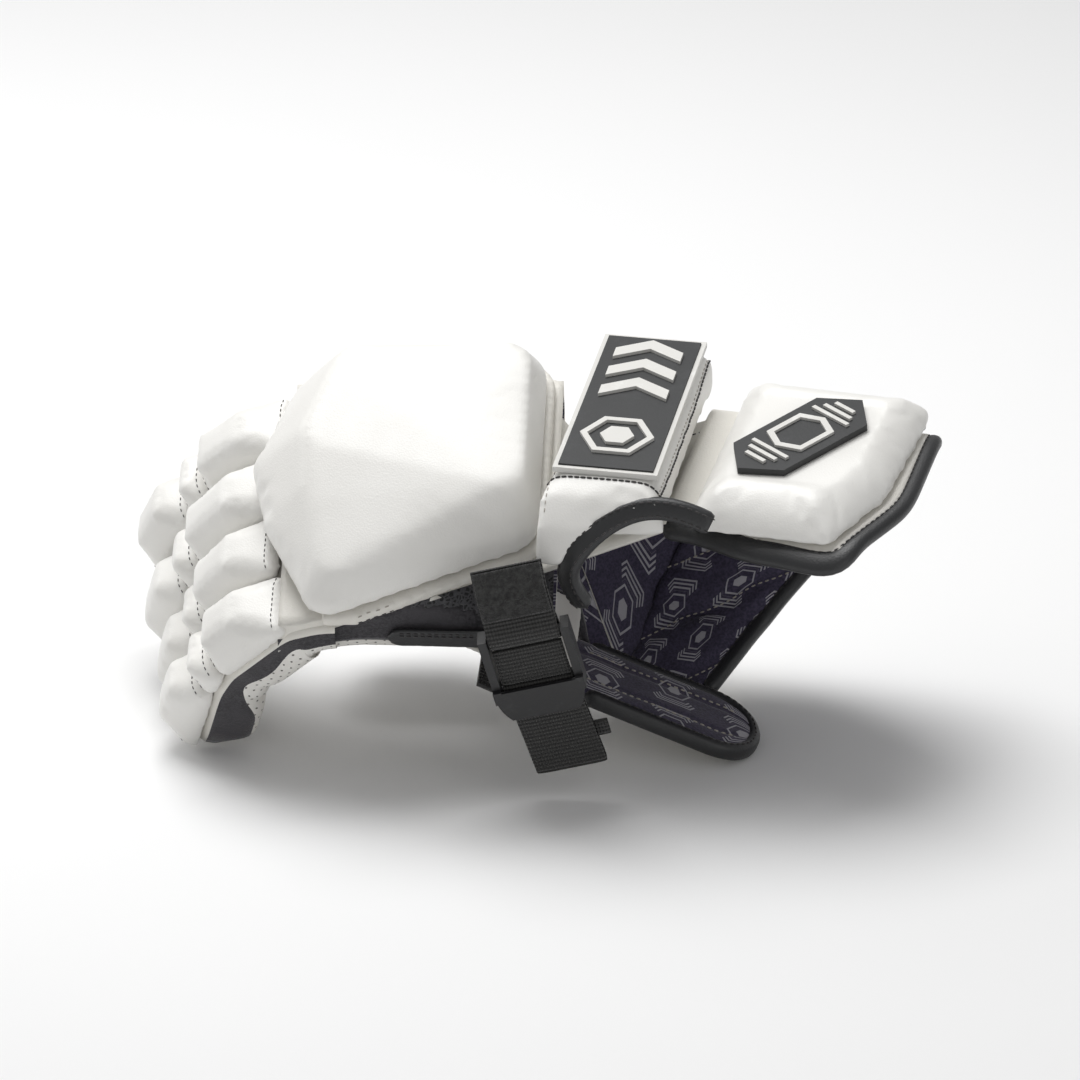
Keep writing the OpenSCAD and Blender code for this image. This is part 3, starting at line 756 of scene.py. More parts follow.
def block_list():
    """(pad node, body, axes) of every finger and thumb block."""
    blocks = []
    for finger in FINGERS:
        for part, joint in (("proximal", "knuckle"), ("middle", "middle_bend"), ("tip", "tip_bend")):
            node = f"{finger}_{part}_pad"
            axes = block_axes(node, pivot(f"{finger}_{joint}"), hand_across)
            blocks.append((node, f"{finger}_{part}", axes))
    blocks.append(("thumb_base_pad", "thumb_base", block_axes("thumb_base_pad", pivot("thumb_root"), axis("thumb_root"))))
    blocks.append(("thumb_tip_pad", "thumb_tip", block_axes("thumb_tip_pad", pivot("thumb_bend"), axis("thumb_bend"))))
    return blocks


BLOCKS = block_list()
AXES_OF = {body: axes for _, body, axes in BLOCKS}


def build_pads():
    """All padded blocks: made, blown up together and finished."""
    jobs, finishing = [], []
    for node, body, axes in BLOCKS:
        pad = soften(solid_copy(node, node.replace("_pad", "_block")), 1.5 * MM, 3)
        jobs.append((pad, axes, 1.2 * MM, 16.0, 0.55 * MM))
        finishing.append((pad, axes, 0.0, body, [node], 0.3 * MM, 2.5 * MM, 420.0, ()))
    under = Axes(HAND.out(span(HAND, "backhand_cover")[0]), HAND.rows[0], HAND.rows[1])
    cover = soften(solid_copy("backhand_cover", "backhand_pad", hull=True), 2.0 * MM, 6)
    jobs.append((cover, under, 1.0 * MM, 9.0, 1.1 * MM))
    finishing.append((cover, under, 6 * MM, "hand", ["backhand_cover"], 0.12 * MM, 5 * MM, 260.0, ()))
    pad = soften(solid_copy("wrist_pad", "wrist_bar"), 1.7 * MM, 5)
    low = Axes(WRIST.out((0, 0, span(WRIST, "wrist_pad_plate")[0][2])), WRIST.rows[0], WRIST.rows[1])
    jobs.append((pad, low, -200 * MM, 10.0, 1.5 * MM))
    finishing.append((pad, low, 0.0, "wrist_pad", ["wrist_pad"], 0.3 * MM, 6 * MM, 200.0, ("wrist_badge",)))
    pad = soften(solid_copy("cuff_pad", "cuff_block"), 1.9 * MM, 5)
    base = Axes(CUFF.out((0, 0, span(CUFF, "cuff_pad")[0][2])), CUFF.rows[0], CUFF.rows[1])
    jobs.append((pad, base, 1.2 * MM, 10.0, 1.5 * MM))
    finishing.append((pad, base, 0.0, "cuff", ["cuff_pad"], 0.3 * MM, 3 * MM, 300.0, ("cuff_badge",)))
    inflate(jobs)
    made = {}
    for pad, axes, seam, body, nodes, depth, reach, scale, badges in finishing:
        pucker(pad, axes, seam, depth, reach, scale)
        for badge in badges:
            bed(pad, axes, badge)
        made[pad.name] = finish_pad(pad, WHITE_PU, body, nodes)
    return made


def bed(obj, axes, badge):
    """Presses the pad flat under a badge, easing out over a few millimetres round it."""
    points = axes.into(read_points(obj))
    low, high = span(axes, badge)
    outside = np.maximum(low[:2] - points[:, :2], points[:, :2] - high[:2]).max(1)
    limit = low[2] - 0.25 * MM + np.clip(outside - 1.5 * MM, 0, None) * 0.6
    above = points[:, 2] > low[2] - 6 * MM
    points[:, 2] = np.where(above, np.minimum(points[:, 2], limit), points[:, 2])
    write_points(obj, axes.out(points))


# ---------------------------------------------------------------- finger sleeves


def bend_rings(stops, ups, across, profile, spread, step=2.5 * MM):
    """Rings of a sleeve along straight stretches between stops, its turns spread out by spread.
    profile(distance) gives the ring's outline as (across, up). Returns rings and distances."""
    along = lengths(np.array(stops))
    count = int(along[-1] / step) + 1
    places = np.linspace(0, along[-1], count)
    fine = np.linspace(0, along[-1], 6 * count)
    line = np.stack([np.interp(fine, along, np.array(stops)[:, k]) for k in range(3)], 1)
    which = np.clip(np.searchsorted(along, fine, side="right") - 1, 0, len(ups) - 1)
    up = np.array(ups)[which]
    rings = []
    for s in places:
        weight = np.exp(-(((fine - s) / spread) ** 2))
        edge = min(s, along[-1] - s)
        weight = np.exp(-(((fine - s) / max(min(spread, edge), 0.5 * MM)) ** 2)) if edge < spread else weight
        weight /= weight.sum()
        origin = weight @ line
        normal = unit(weight @ up)
        outline = profile(s)
        rings.append(origin + outline[:, :1] * across + outline[:, 1:] * normal)
    return np.array(rings), places


def part_between(line, z0, z1, count):
    """Even points of the stretch of a falling line of (y, z) between two heights."""
    z = line[:, 1]
    along = lengths(line)
    s0, s1 = (float(np.interp(-v, -z, along)) for v in (z0, z1))
    places = np.linspace(s0, s1, count)
    return np.stack([np.interp(places, along, line[:, k]) for k in range(2)], 1)


PANELS = ((TOP, 4), (SIDE, 7), (PALM, 10))
COLUMN_ZONES = [z for z, n in PANELS for _ in range(n)]
COLUMN_ZONES = COLUMN_ZONES + COLUMN_ZONES[::-1]


def sleeve_outline(w, depth, seam, r):
    """Half the outline falls from the middle of the top to the middle of the palm side, in three
    panels that meet at fixed heights; the other half mirrors it."""
    t = np.radians(np.linspace(90, 0, 5))
    shoulder = np.stack([w - 1.5 * MM + 1.5 * MM * np.cos(t), -1.5 * MM + 1.5 * MM * np.sin(t)], 1)
    t = np.radians(np.linspace(0, -90, 9))
    foot = np.stack([w - r + r * np.cos(t), r - depth + r * np.sin(t)], 1)
    line = np.concatenate([[[0, 0.2 * MM]], shoulder, foot, [[0, -depth - 0.1 * MM]]])
    line[:, 1] -= np.arange(len(line)) * 1e-7
    heights = (line[0, 1], -2.2 * MM, seam, line[-1, 1])
    half = [part_between(line, a, b, n + 1)[:-1] for a, b, (_, n) in zip(heights, heights[1:], PANELS)]
    right = np.concatenate(half + [line[-1:]])
    left = right[1:-1][::-1] * [-1, 1]
    return np.concatenate([right, left])


def finger_sleeve(finger):
    """The fabric of one finger: three pieces, each bending across one joint."""
    bodies = ["hand"] + [f"{finger}_{p}" for p in ("proximal", "middle", "tip")]
    joints = [pivot(f"{finger}_{j}") for j in ("knuckle", "middle_bend", "tip_bend")]
    tip = AXES_OF[bodies[3]]
    tip_low, _ = span(tip, f"{finger}_tip_pad")
    _, wide = span(tip, f"{finger}_tip_stall")
    depth = -span(AXES_OF[bodies[1]], f"{finger}_proximal_stall")[0][2]
    half = wide[1]
    inside = joints[0] + HAND.rows[0] * 16 * MM
    end = tip.out((tip_low[0] + 1.5 * MM, 0, 0))
    stops = [inside, *joints, end]
    ups = [HAND.rows[2]] + [AXES_OF[b].rows[2] for b in bodies[1:]]
    along = lengths(np.array(stops))

    def outline(s):
        nip = sum(math.exp(-(((s - along[k]) / (5 * MM)) ** 2)) for k in (2, 3))
        close = smooth_step((along[-1] - s) / (9 * MM))
        close = math.sqrt(max(close, 0.03))
        root = 0.82 + 0.18 * smooth_step(s / (15 * MM))
        d = (depth - 2.5 * MM * nip) * (0.35 + 0.65 * close) * root
        w = (half * (0.75 + 0.25 * close) - 0.5 * MM * nip) * root
        fade = smooth_step((s - along[2]) / (26 * MM))
        scallop = 1.2 * MM * math.sin(s / (5 * MM))
        seam = -(8.5 * MM + (d - 11 * MM) * fade + scallop * (1 - fade))
        return sleeve_outline(w, d, max(seam, 0.5 * MM - d), min(7.5 * MM, 0.45 * d))

    rings, places = bend_rings(stops, ups, hand_across, outline, 7 * MM)
    cuts = [0, (along[1] + along[2]) / 2, (along[2] + along[3]) / 2, along[-1]]
    rows = [int(np.argmin(abs(places - c))) for c in cuts]
    for k, part in enumerate(("knuckle", "middle", "tip")):
        first, last = rows[k], rows[k + 1]
        piece = tube(f"{finger}_sleeve_{part}", rings[first:last + 1], [BASE_PU, NASH, PERFORATED],
                     lambda row, column: COLUMN_ZONES[column], caps=(False, k == 2))
        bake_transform(piece)
        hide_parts(f"{finger}_{('proximal', 'middle', 'tip')[k]}_stall")


def thumb_sleeve():
    """The thumb's fabric: two pieces, hand to base block and base block to tip block."""
    root, joint = pivot("thumb_root"), pivot("thumb_bend")
    base, tip = AXES_OF["thumb_base"], AXES_OF["thumb_tip"]
    tip_low, _ = span(tip, "thumb_tip_pad")
    low, high = span(tip, "thumb_tip_stall")
    end = tip.out((tip_low[0] + 2 * MM, 0, 0))
    inside = root + base.rows[0] * 9 * MM
    stops = [inside, root, joint, end]
    along = lengths(np.array(stops))
    half, depth = high[1], -low[2]
    across = unit(base.rows[1] + tip.rows[1])

    def outline(s):
        nip = math.exp(-(((s - along[2]) / (7 * MM)) ** 2))
        close = math.sqrt(max(smooth_step((along[-1] - s) / (12 * MM)), 0.03))
        d = (depth - 2 * MM * nip) * (0.35 + 0.65 * close)
        w = half * (0.7 + 0.3 * close) - 0.5 * MM * nip
        return sleeve_outline(w, d, -0.62 * d, min(9 * MM, 0.45 * d))

    rings, places = bend_rings(stops, [base.rows[2], base.rows[2], tip.rows[2]], across, outline, 9 * MM)
    middle = int(np.argmin(abs(places - (along[1] + along[2]) / 2)))
    spans = ((0, middle, "hand", "thumb_base", root, base.rows[0], base.rows[0]),
             (middle, len(places) - 1, "thumb_base", "thumb_tip", joint, base.rows[0], tip.rows[0]))
    for k, (first, last, a, b, where, back, ahead) in enumerate(spans):
        piece = tube(f"thumb_sleeve_{('root', 'bend')[k]}", rings[first:last + 1], [BASE_PU, NASH, PERFORATED],
                     lambda row, column: COLUMN_ZONES[column], caps=(k == 0, k == 1))
        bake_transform(piece)
        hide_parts(("thumb_base_stall", "thumb_tip_stall")[k])


# ---------------------------------------------------------------- hand


def underside(x):
    """Height of the base sheet's underside at x in the hand's axes."""
    up = flat_normal("hand_base")
    up = up * np.sign(up @ HAND.rows[2])
    points = corners("hand_base")
    foot = HAND.into(points[np.argmin(points @ up)])
    slope = HAND.rows @ up
    return foot[2] - slope[0] / slope[2] * (x - foot[0])


def near_edge_of_base():
    """(x, y) of the base sheet's near edge at its front and rear end, in the hand's axes."""
    points = HAND.into(corners("hand_base"))
    rear = points[points[:, 0] > points[:, 0].max() - 9 * MM]
    front = points[np.argmin(points[:, 1])]
    return front[:2], np.array([rear[:, 0].max(), rear[:, 1].min()])


BODY_PANELS = (("top", 24), ("near_white", 4), ("near_side", 8), ("palm", 44), ("far_side", 6),
               ("far_white", 6))
BODY_ZONES = [name for name, n in BODY_PANELS for _ in range(n)]


def body_section(x):
    """Outline of the hand's body at x in hand axes, as panels of even points."""
    low, high = span(HAND, "palm_leather")
    base_low, base_high = span(HAND, "hand_base")
    mesh_low, mesh_high = span(HAND, "mesh_gusset")
    little = HAND.into(pivot("little_knuckle"))
    half = span(AXES_OF["little_proximal"], "little_proximal_pad")[1][1]
    front, rear = near_edge_of_base()
    flare = smooth_step((30 * MM - x) / (40 * MM))
    y0 = low[1] * (1 - flare) + (little[1] - half) * flare
    y1 = base_high[1] - 3 * MM
    top = underside(x) + 1.2 * MM
    draw = max(np.interp(x, [front[0], rear[0]], [front[1], rear[1]]) + 1.5 * MM, y0 + 0.5 * MM)
    patch_x = span(HAND, "heel_patch")[0][0]
    ahead = smooth_step((patch_x + 26 * MM - x) / (24 * MM))
    rim = high[2] - 5 * MM * ahead
    bottom = low[2] - 0.5 * MM * ahead
    share = 0.45 + 0.55 * smooth_step((x - 8 * MM) / (40 * MM))
    split = np.array([y0 + (draw - y0) * share, rim + (top - rim) * share])
    far_split = np.array([y1 + 0.5 * MM, rim + 0.4 * (top - rim)])
    r = min(11 * MM, rim - bottom)
    t = np.radians(np.linspace(0, 90, 7))
    near_arc = np.stack([y0 + r - r * np.cos(t), bottom + r - r * np.sin(t)], 1)
    far_arc = np.stack([y1 - r + r * np.sin(t), bottom + r - r * np.cos(t)], 1)
    bulge = 1.5 * MM * smooth_step((x - mesh_low[0]) / (20 * MM))
    stretches = ([[base_high[1] - 2 * MM, top], [draw, top]], [[draw, top], split],
                 [split, (split + [y0, rim]) / 2 - [bulge, 0], [y0, rim]],
                 np.concatenate([[[y0, rim]], near_arc, far_arc, [[y1, rim]]]),
                 [[y1, rim], far_split], [far_split, [base_high[1] - 2 * MM, top]])
    outline = [resample(np.array(line), count=n + 1)[:-1] for line, (_, n) in zip(stretches, BODY_PANELS)]
    return [(x, y, z) for y, z in np.concatenate(outline)]


def hand_rings():
    """Rings round the hand's body from the knuckles to the wrist, in the row frame and in hand axes."""
    rear = span(HAND, "palm_leather")[1][0]
    local = np.array([body_section(x) for x in np.arange(-1.0 * MM, rear + 2 * MM, 2.2 * MM)])
    for ring in local:
        tuck = 0.08 * smooth_step((ring[0, 0] - rear + 12 * MM) / (12 * MM))
        middle = ring.mean(0)
        ring[:, 1:] += (middle[1:] - ring[:, 1:]) * tuck
    return np.array([HAND.out(r) for r in local]), local


def part_of_tube(name, rings, wanted, material, inside, thickness, body, slot, *nodes):
    """The faces of a tube that belong to one panel, as a piece with thickness."""
    rows, columns = rings.shape[:2]
    faces, places = grid_faces(rows, columns, wrap=True)
    uv = np.array(grid_uv(rings, places, wrap=True)).reshape(-1, 4, 2)
    picked = [k for k, f in enumerate(places) if wanted(f[0][0], f[0][1])]
    used = sorted({i for k in picked for i in faces[k]})
    index = {v: n for n, v in enumerate(used)}
    flat = rings.reshape(-1, 3)
    obj = add_mesh(name, flat[used], [tuple(index[i] for i in faces[k]) for k in picked], [material],
                   uv=uv[picked].reshape(-1, 2))
    centre = rings.reshape(-1, 3).mean(0)
    point_outwards(obj, centre)
    thicken(obj, thickness, inside)
    return place(obj, body, slot, *nodes)


def point_outwards(obj, centre):
    """Turns the faces over if most of them look at the centre."""
    facing = sum(f.area * f.normal.dot(f.center - Vector(centre)) for f in obj.data.polygons)
    if facing < 0:
        obj.data.flip_normals()


def build_hand():
    """Body of the hand: leather palm, white edge strip, suede side walls and an air-mesh triangle."""
    rings, local = hand_rings()
    mesh_start = span(HAND, "mesh_gusset")[0][0] - 4 * MM
    near = BODY_ZONES.index("near_side")

    def is_mesh(row, column):
        height = (column - near) / 8
        return BODY_ZONES[column] == "near_side" and local[row, column, 0] > mesh_start + 45 * MM * height

    def zone_is(*names):
        return lambda row, column: BODY_ZONES[column] in names and not is_mesh(row, column)

    part_of_tube("palm_skin", rings, zone_is("palm"), PERFORATED, LINING, 1.8 * MM, "hand", "white_leather",
                 "palm_leather")
    part_of_tube("hand_edge", rings, zone_is("top", "near_white", "far_white"), BASE_PU, LINING, 1.5 * MM, "hand",
                 "white_leather")
    part_of_tube("side_walls", rings, zone_is("near_side", "far_side"), NASH, LINING, 1.8 * MM, "hand", "nash",
                 "side_band")
    part_of_tube("mesh_panel", rings, is_mesh, AIR_MESH, LINING, 1.6 * MM, "hand", "mesh", "mesh_gusset")


def build_base():
    """Stitched base sheet and foam core of the backhand pad."""
    base = soft_piece("hand_base", "hand", BASE_PU, "white_leather", 1.5 * MM, 4)
    soft_piece("backhand_foam", "hand", FOAM, "foam", 2.6 * MM, 3)
    low, high = span(HAND, "hand_base")
    front, rear = near_edge_of_base()
    reach = 25 * MM
    thickness = 5.3 * MM
    for level, material, name in ((0.30, DARK_THREAD, "base_seam"), (0.82, PALE_THREAD, "base_edge_seam")):
        line = [HAND.out((x, low[1] - reach, underside(x) + level * thickness))
                for x in np.linspace(front[0] + 2 * MM, rear[0] - 3 * MM, 40)]
        sew(name, [line], HAND.rows[1], base, material, "hand", pitch=2.7 * MM, length=1.5 * MM, radius=0.25 * MM)
    return base


def build_heel():
    """Wear patch on the side of the hand and the leather down to the palm flap."""
    patch = soft_piece("heel_patch", "hand", BLACK_LEATHER, "black_leather", 0.8 * MM, 4, 0.15 * MM)
    low, high = span(HAND, "heel_patch")
    out = low[1] - 20 * MM
    lines = []
    for z in (high[2] - 1.0 * MM, high[2] - 2.4 * MM):
        lines.append([HAND.out((x, out, z)) for x in np.linspace(low[0] + 5 * MM, high[0] - 1 * MM, 20)])
    sew("heel_seams", lines, HAND.rows[1], patch, DARK_THREAD, "hand", pitch=2.4 * MM, length=1.5 * MM)
    soft_piece("palm_heel", "hand", PERFORATED, "white_leather", 1.1 * MM, 4, 0.4 * MM, 120.0)


# ---------------------------------------------------------------- cuff


CUFF_COLUMNS = 64
CUFF_ROWS = 30


def cuff_tree():
    points, faces = [], []
    for node in ("cuff_roof", "cuff_wall"):
        mesh = frame["nodes"][node].data
        start = len(points)
        points += [Vector(CUFF.into(np.array(v.co))) for v in mesh.vertices]
        faces += [[start + i for i in f.vertices] for f in mesh.polygons]
    return BVHTree.FromPolygons(points, faces)


def cuff_path(tree, low, high):
    """(y, z) points on the outside of the cuff, from its near edge to the foot of its wall."""
    centre = Vector((0, (low[1] + high[1]) / 2, low[2] + 0.62 * (high[2] - low[2])))
    found = []
    for a in np.radians(np.linspace(215, -95, 156)):
        out = Vector((0, math.cos(a), math.sin(a)))
        for share in (0.45, 0.3, 0.6, 0.2, 0.1):
            x = low[0] + share * (high[0] - low[0])
            start = Vector((x, centre.y, centre.z)) + out * 150 * MM
            hit, normal, _, _ = tree.ray_cast(start, -out)
            if hit is not None and (hit - start).length < 150 * MM:
                found.append((hit.y, hit.z))
                break
    return relaxed(resample(np.array(found), count=CUFF_COLUMNS), 2)


FOOT_COLUMNS = 10


def longer_foot(grid):
    """Carries the wall on past the CAD shell's foot, still curling under, to where the lining is sewn in."""
    step = grid[:, -1] - grid[:, -4]
    step = step / 3
    added = [grid[:, -1]]
    for _ in range(FOOT_COLUMNS):
        step = step + np.array([0, -0.035, 0.012]) * np.abs(step[:, 2:3])
        added.append(added[-1] + step)
    return np.concatenate([grid, np.stack(added[1:], 1)], 1)


def ends_along(tree, y, z, low, high):
    """Front and rear x of the cuff at (y, z), or None where there is no shell."""
    ahead = tree.ray_cast(Vector((low[0] - 50 * MM, y, z)), Vector((1, 0, 0)))[0]
    behind = tree.ray_cast(Vector((high[0] + 50 * MM, y, z)), Vector((-1, 0, 0)))[0]
    if ahead is None or behind is None:
        return None
    return ahead.x, behind.x


def cuff_grid():
    """Outside of the cuff in cuff axes: rows along its length, columns from near edge to foot."""
    low, high = span(CUFF, "cuff_roof", "cuff_wall")
    tree = cuff_tree()
    path = cuff_path(tree, low, high)
    inward = np.gradient(path, axis=0)
    inward = np.stack([inward[:, 1], -inward[:, 0]], 1)
    inward /= np.linalg.norm(inward, axis=1, keepdims=True)
    ends = []
    for (y, z), n in zip(path, inward):
        found = None
        for depth in (1.5, 0.8, 2.3):
            found = found or ends_along(tree, y + n[0] * depth * MM, z + n[1] * depth * MM, low, high)
        ends.append(found or (np.nan, np.nan))
    ends = np.array(ends)
    good = ~np.isnan(ends[:, 0])
    columns = np.arange(len(path))
    ends = np.stack([np.interp(columns, columns[good], ends[good, k]) for k in (0, 1)], 1)
    for _ in range(6):
        ends[1:-1] = (ends[:-2] + 2 * ends[1:-1] + ends[2:]) / 4
    share = np.linspace(0, 1, CUFF_ROWS)[:, None]
    x = ends[:, 0] * (1 - share) + ends[:, 1] * share
    across = lengths(path)
    near = np.exp(-((across / (16 * MM)) ** 2))
    along = (x - low[0]) / (high[0] - low[0])
    drawn_in = 8 * MM * smooth_step((0.62 - along) / 0.3) - 2.5 * MM * smooth_step((along - 0.62) / 0.2)
    grid = np.stack([x, path[:, 0] + drawn_in * near, np.broadcast_to(path[:, 1], x.shape)], 2)
    return longer_foot(grid)


def build_cuff():
    """Cuff shell, quilted lining and the leather edging round them."""
    grid = cuff_grid()
    outside = np.array([CUFF.out(row) for row in grid])
    normals = grid_normals(outside)
    centre = outside.reshape(-1, 3).mean(0)
    if np.mean(np.sum(normals * (outside - centre), 2)) < 0:
        normals = -normals
    shell = sheet("cuff_shell", outside, normals, 3.0 * MM, [BASE_PU, BASE_PU])
    place(shell, "cuff", "white_leather", "cuff_roof", "cuff_wall")
    across = lengths(outside[CUFF_ROWS // 2])
    along = np.linspace(0, 1, CUFF_ROWS)[:, None]
    length = np.linalg.norm(outside[-1] - outside[0], axis=1)
    channel = np.sin((across + 0.9 * length * along) * math.pi / (34 * MM)) ** 2
    edge = np.minimum(along, 1 - along) * 8
    puff = 1.8 * MM * np.clip(channel * 3, 0, 1) * np.clip(edge, 0, 1)
    inner = outside - normals * 3.2 * MM
    lining = sheet("cuff_lining_quilt", inner[2:], normals[2:], (1.5 * MM + puff)[2:], [LINING, LINING])
    place(lining, "cuff", "lining", "cuff_lining")
    outer_edge(outside, normals)
    quilt_seams(inner, normals, across, length, along)
    return outside, normals


def sheet(name, grid, normals, thickness, materials):
    """A closed sheet from the grid inwards against its normals."""
    rows, columns = grid.shape[:2]
    depth = np.broadcast_to(np.asarray(thickness, float), (rows, columns))[..., None]
    points = np.concatenate([grid.reshape(-1, 3), (grid - normals * depth).reshape(-1, 3)])
    count = rows * columns
    top, places = grid_faces(rows, columns)
    bottom = [tuple(reversed([i + count for i in f])) for f in top]
    border = ([i * columns for i in range(rows)]
              + [(rows - 1) * columns + j for j in range(1, columns)]
              + [i * columns + columns - 1 for i in range(rows - 2, -1, -1)]
              + [j for j in range(columns - 2, 0, -1)])
    rim = [(border[k], border[(k + 1) % len(border)], border[(k + 1) % len(border)] + count,
            border[k] + count) for k in range(len(border))]
    uv = grid_uv(grid, places)
    under = [uv[k + 3 - c] for k in range(0, len(uv), 4) for c in range(4)]
    kinds = [0] * len(top) + [1] * len(bottom) + [0] * len(rim)
    return add_mesh(name, points, top + bottom + rim, materials, kinds, uv + under + [(0, 0)] * 4 * len(rim))


def outer_edge(outside, normals):
    """Rolled leather edging: thick along the near edge, slimmer round the rear and down the wall."""
    middle = -normals * 2.4 * MM
    near = (outside + middle)[:, 0]
    behind = outside[-1] - outside[-4]
    behind /= np.linalg.norm(behind, axis=1, keepdims=True)
    rear = (outside + middle)[-1] + behind * 2.2 * MM
    path = np.concatenate([near, rear[1:]])
    facing = np.concatenate([normals[:, 0], normals[-1, 1:]])
    stacked = resample(np.hstack([path, facing]), step=2.2 * MM)
    for _ in range(5):
        stacked[1:-1] = (stacked[:-2] + 2 * stacked[1:-1] + stacked[2:]) / 4
    path, facing = stacked[:, :3], stacked[:, 3:]
    along = lengths(path)
    turn = lengths(near)[-1]
    slim = smooth_step((along - turn + 6 * MM) / (22 * MM))
    tall = 4.9 * MM * (1 - slim) + 3.0 * MM * slim
    fat = 2.9 * MM * (1 - slim) + 2.8 * MM * slim
    taper = np.clip(np.minimum(along, along[-1] - along) / (3 * MM), 0.05, 1) ** 0.5
    shapes = np.array([oval(a * t, b * t, 20, 2.3) for a, b, t in zip(tall, fat, taper)])
    rings = sweep(path, facing, shapes)
    piece = tube("cuff_edging", rings, [BLACK_LEATHER])
    place(piece, "cuff", "black_leather", "cuff_binding")
    out = np.cross(np.gradient(path, axis=0), facing)
    out /= np.linalg.norm(out, axis=1, keepdims=True)
    for side, name in ((1, "edging_seam"), (-1, "edging_seam_inside")):
        line = path + side * facing * (fat * 0.8)[:, None] - out * np.sign(np.mean(np.sum(
            out * (path - outside.reshape(-1, 3).mean(0)), 1))) * (tall * 0.55)[:, None]
        runs = []
        tree = tree_of(piece)
        for p, n in zip(line, facing * side):
            hit, normal, _, distance = tree.find_nearest(Vector(p))
            if hit is not None and distance < 4 * MM:
                runs.append((hit, normal if normal.dot(Vector(n)) > 0 else -normal))
        seam = stitches(name, [(np.array([r[0] for r in runs]), np.array([r[1] for r in runs]))], DARK_THREAD,
                        pitch=2.8 * MM, length=1.8 * MM)
        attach(seam, "cuff")


def quilt_seams(inner, normals, across, length, along):
    """Stitches along the channels of the quilted lining."""
    phase = (across + 0.9 * length * along) / (34 * MM)
    runs = []
    for k in range(1, int(phase.max()) + 1):
        line, facing = [], []
        for i in range(inner.shape[0]):
            j = np.searchsorted(phase[i], k)
            if 0 < j < inner.shape[1]:
                share = (k - phase[i, j - 1]) / (phase[i, j] - phase[i, j - 1])
                point = inner[i, j - 1] * (1 - share) + inner[i, j] * share
                line.append(point - normals[i, j] * 1.6 * MM)
                facing.append(-normals[i, j])
        if len(line) > 3:
            runs.append((np.array(line), np.array(facing)))
    seam = stitches("quilt_seams", runs, PALE_THREAD, pitch=2.6 * MM, length=1.6 * MM)
    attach(seam, "cuff")


# ---------------------------------------------------------------- wrist


WRIST_ROWS = 18
WRIST_COLUMNS = 60


def build_wrist(outside, normals):
    """Padded layer that bridges hand and cuff under the wrist pad, bending at the wrist."""
    rings, local = hand_rings()
    x_rear = local[-1, 0, 0] - 9 * MM
    front, rear = near_edge_of_base()
    low, high = span(HAND, "palm_leather")
    base_high = span(HAND, "hand_base")[1]
    top = underside(x_rear) + 2.5 * MM
    y1 = base_high[1] - 3.5 * MM
    r = 12 * MM
    t = np.radians(np.linspace(0, 90, 6))
    corner = [(x_rear, y1 - r + r * math.sin(a), top - r + r * math.cos(a)) for a in t]
    line = [(x_rear, rear[1] - 4 * MM, top - 3 * MM), (x_rear, rear[1] + 6 * MM, top)] + corner
    line += [(x_rear, y1, low[2] + 16 * MM), (x_rear - 4 * MM, y1 - 6 * MM, low[2] + 3 * MM)]
    hand_line = relaxed(resample(HAND.out(line), count=WRIST_COLUMNS), 3)
    cuff_row = outside[2] - normals[2] * 1.5 * MM
    cuff_line = resample(cuff_row, count=WRIST_COLUMNS)
    share = np.linspace(0, 1, WRIST_ROWS)[:, None, None]
    grid = hand_line * (1 - share) + cuff_line * share
    limit = span(WRIST, "wrist_pad_plate")[0][2] - 1.2 * MM
    inside = WRIST.into(grid)
    zone = span(WRIST, "wrist_pad")
    mid = np.clip(np.minimum(inside[..., 0] - zone[0][0] + 6 * MM, zone[1][0] + 6 * MM - inside[..., 0])
                  / (6 * MM), 0, 1)
    drop_by = np.clip(inside[..., 2] - limit, 0, None) * mid
    inside[..., 2] -= drop_by
    grid = WRIST.out(inside)
    facing = grid_normals(grid)
    centre = grid.reshape(-1, 3).mean(0)
    if np.mean(np.sum(facing * (grid - centre), 2)) < 0:
        facing = -facing
    across = np.linspace(0, 1, WRIST_COLUMNS)
    along = np.linspace(0, 1, WRIST_ROWS)[:, None]
    folds = 0.7 * MM * np.sin(along * 3 * math.pi) * np.sin(across * 5) ** 2
    grid = grid + facing * folds[..., None]
    skin = sheet("wrist_layer", grid, facing, 2.2 * MM, [BASE_PU, LINING])
    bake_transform(skin)
    for node in ("wrist_bridge", "thumb_gusset", "hand_lining"):
        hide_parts(node)
    thumb_panel(grid[:, -1])
    runs = []
    for row in (WRIST_ROWS - 6, WRIST_ROWS - 5):
        runs.append((grid[row, 2:40], facing[row, 2:40]))
    for column in (18, 30):
        runs.append((grid[3:, column], facing[3:, column]))
    seam = stitches("wrist_seams", runs, DARK_THREAD, pitch=2.6 * MM, length=1.5 * MM, radius=0.25 * MM)
    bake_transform(seam)


def thumb_panel(edge):
    """Lined panel from the wrist layer's last edge to the far edge of the palm heel."""
    heel = corners("palm_heel")
    front = heel[np.argmax(heel[:, 1] - heel[:, 0])]
    rear = heel[np.argmax(heel[:, 1] + heel[:, 0])]
    rows, columns = len(edge), 14
    share = np.linspace(0, 1, rows)[:, None]
    inner = front * (1 - share) + rear * share
    across = np.linspace(0, 1, columns)[None, :, None]
    grid = edge[:, None] * (1 - across) + inner[:, None] * across
    facing = grid_normals(grid)
    if np.mean(facing[..., 1]) < 0:
        facing = -facing
    sag = np.sin(np.linspace(0, 1, columns) * math.pi) * 6 * MM
    grid = grid + facing * sag[None, :, None]
    panel = sheet("thumb_side_panel", grid, facing, 1.8 * MM, [NASH, LINING])
    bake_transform(panel)


ARCH_START = math.radians(58)
ARCH_TOP = math.radians(98)
ARCH_END = math.radians(194)


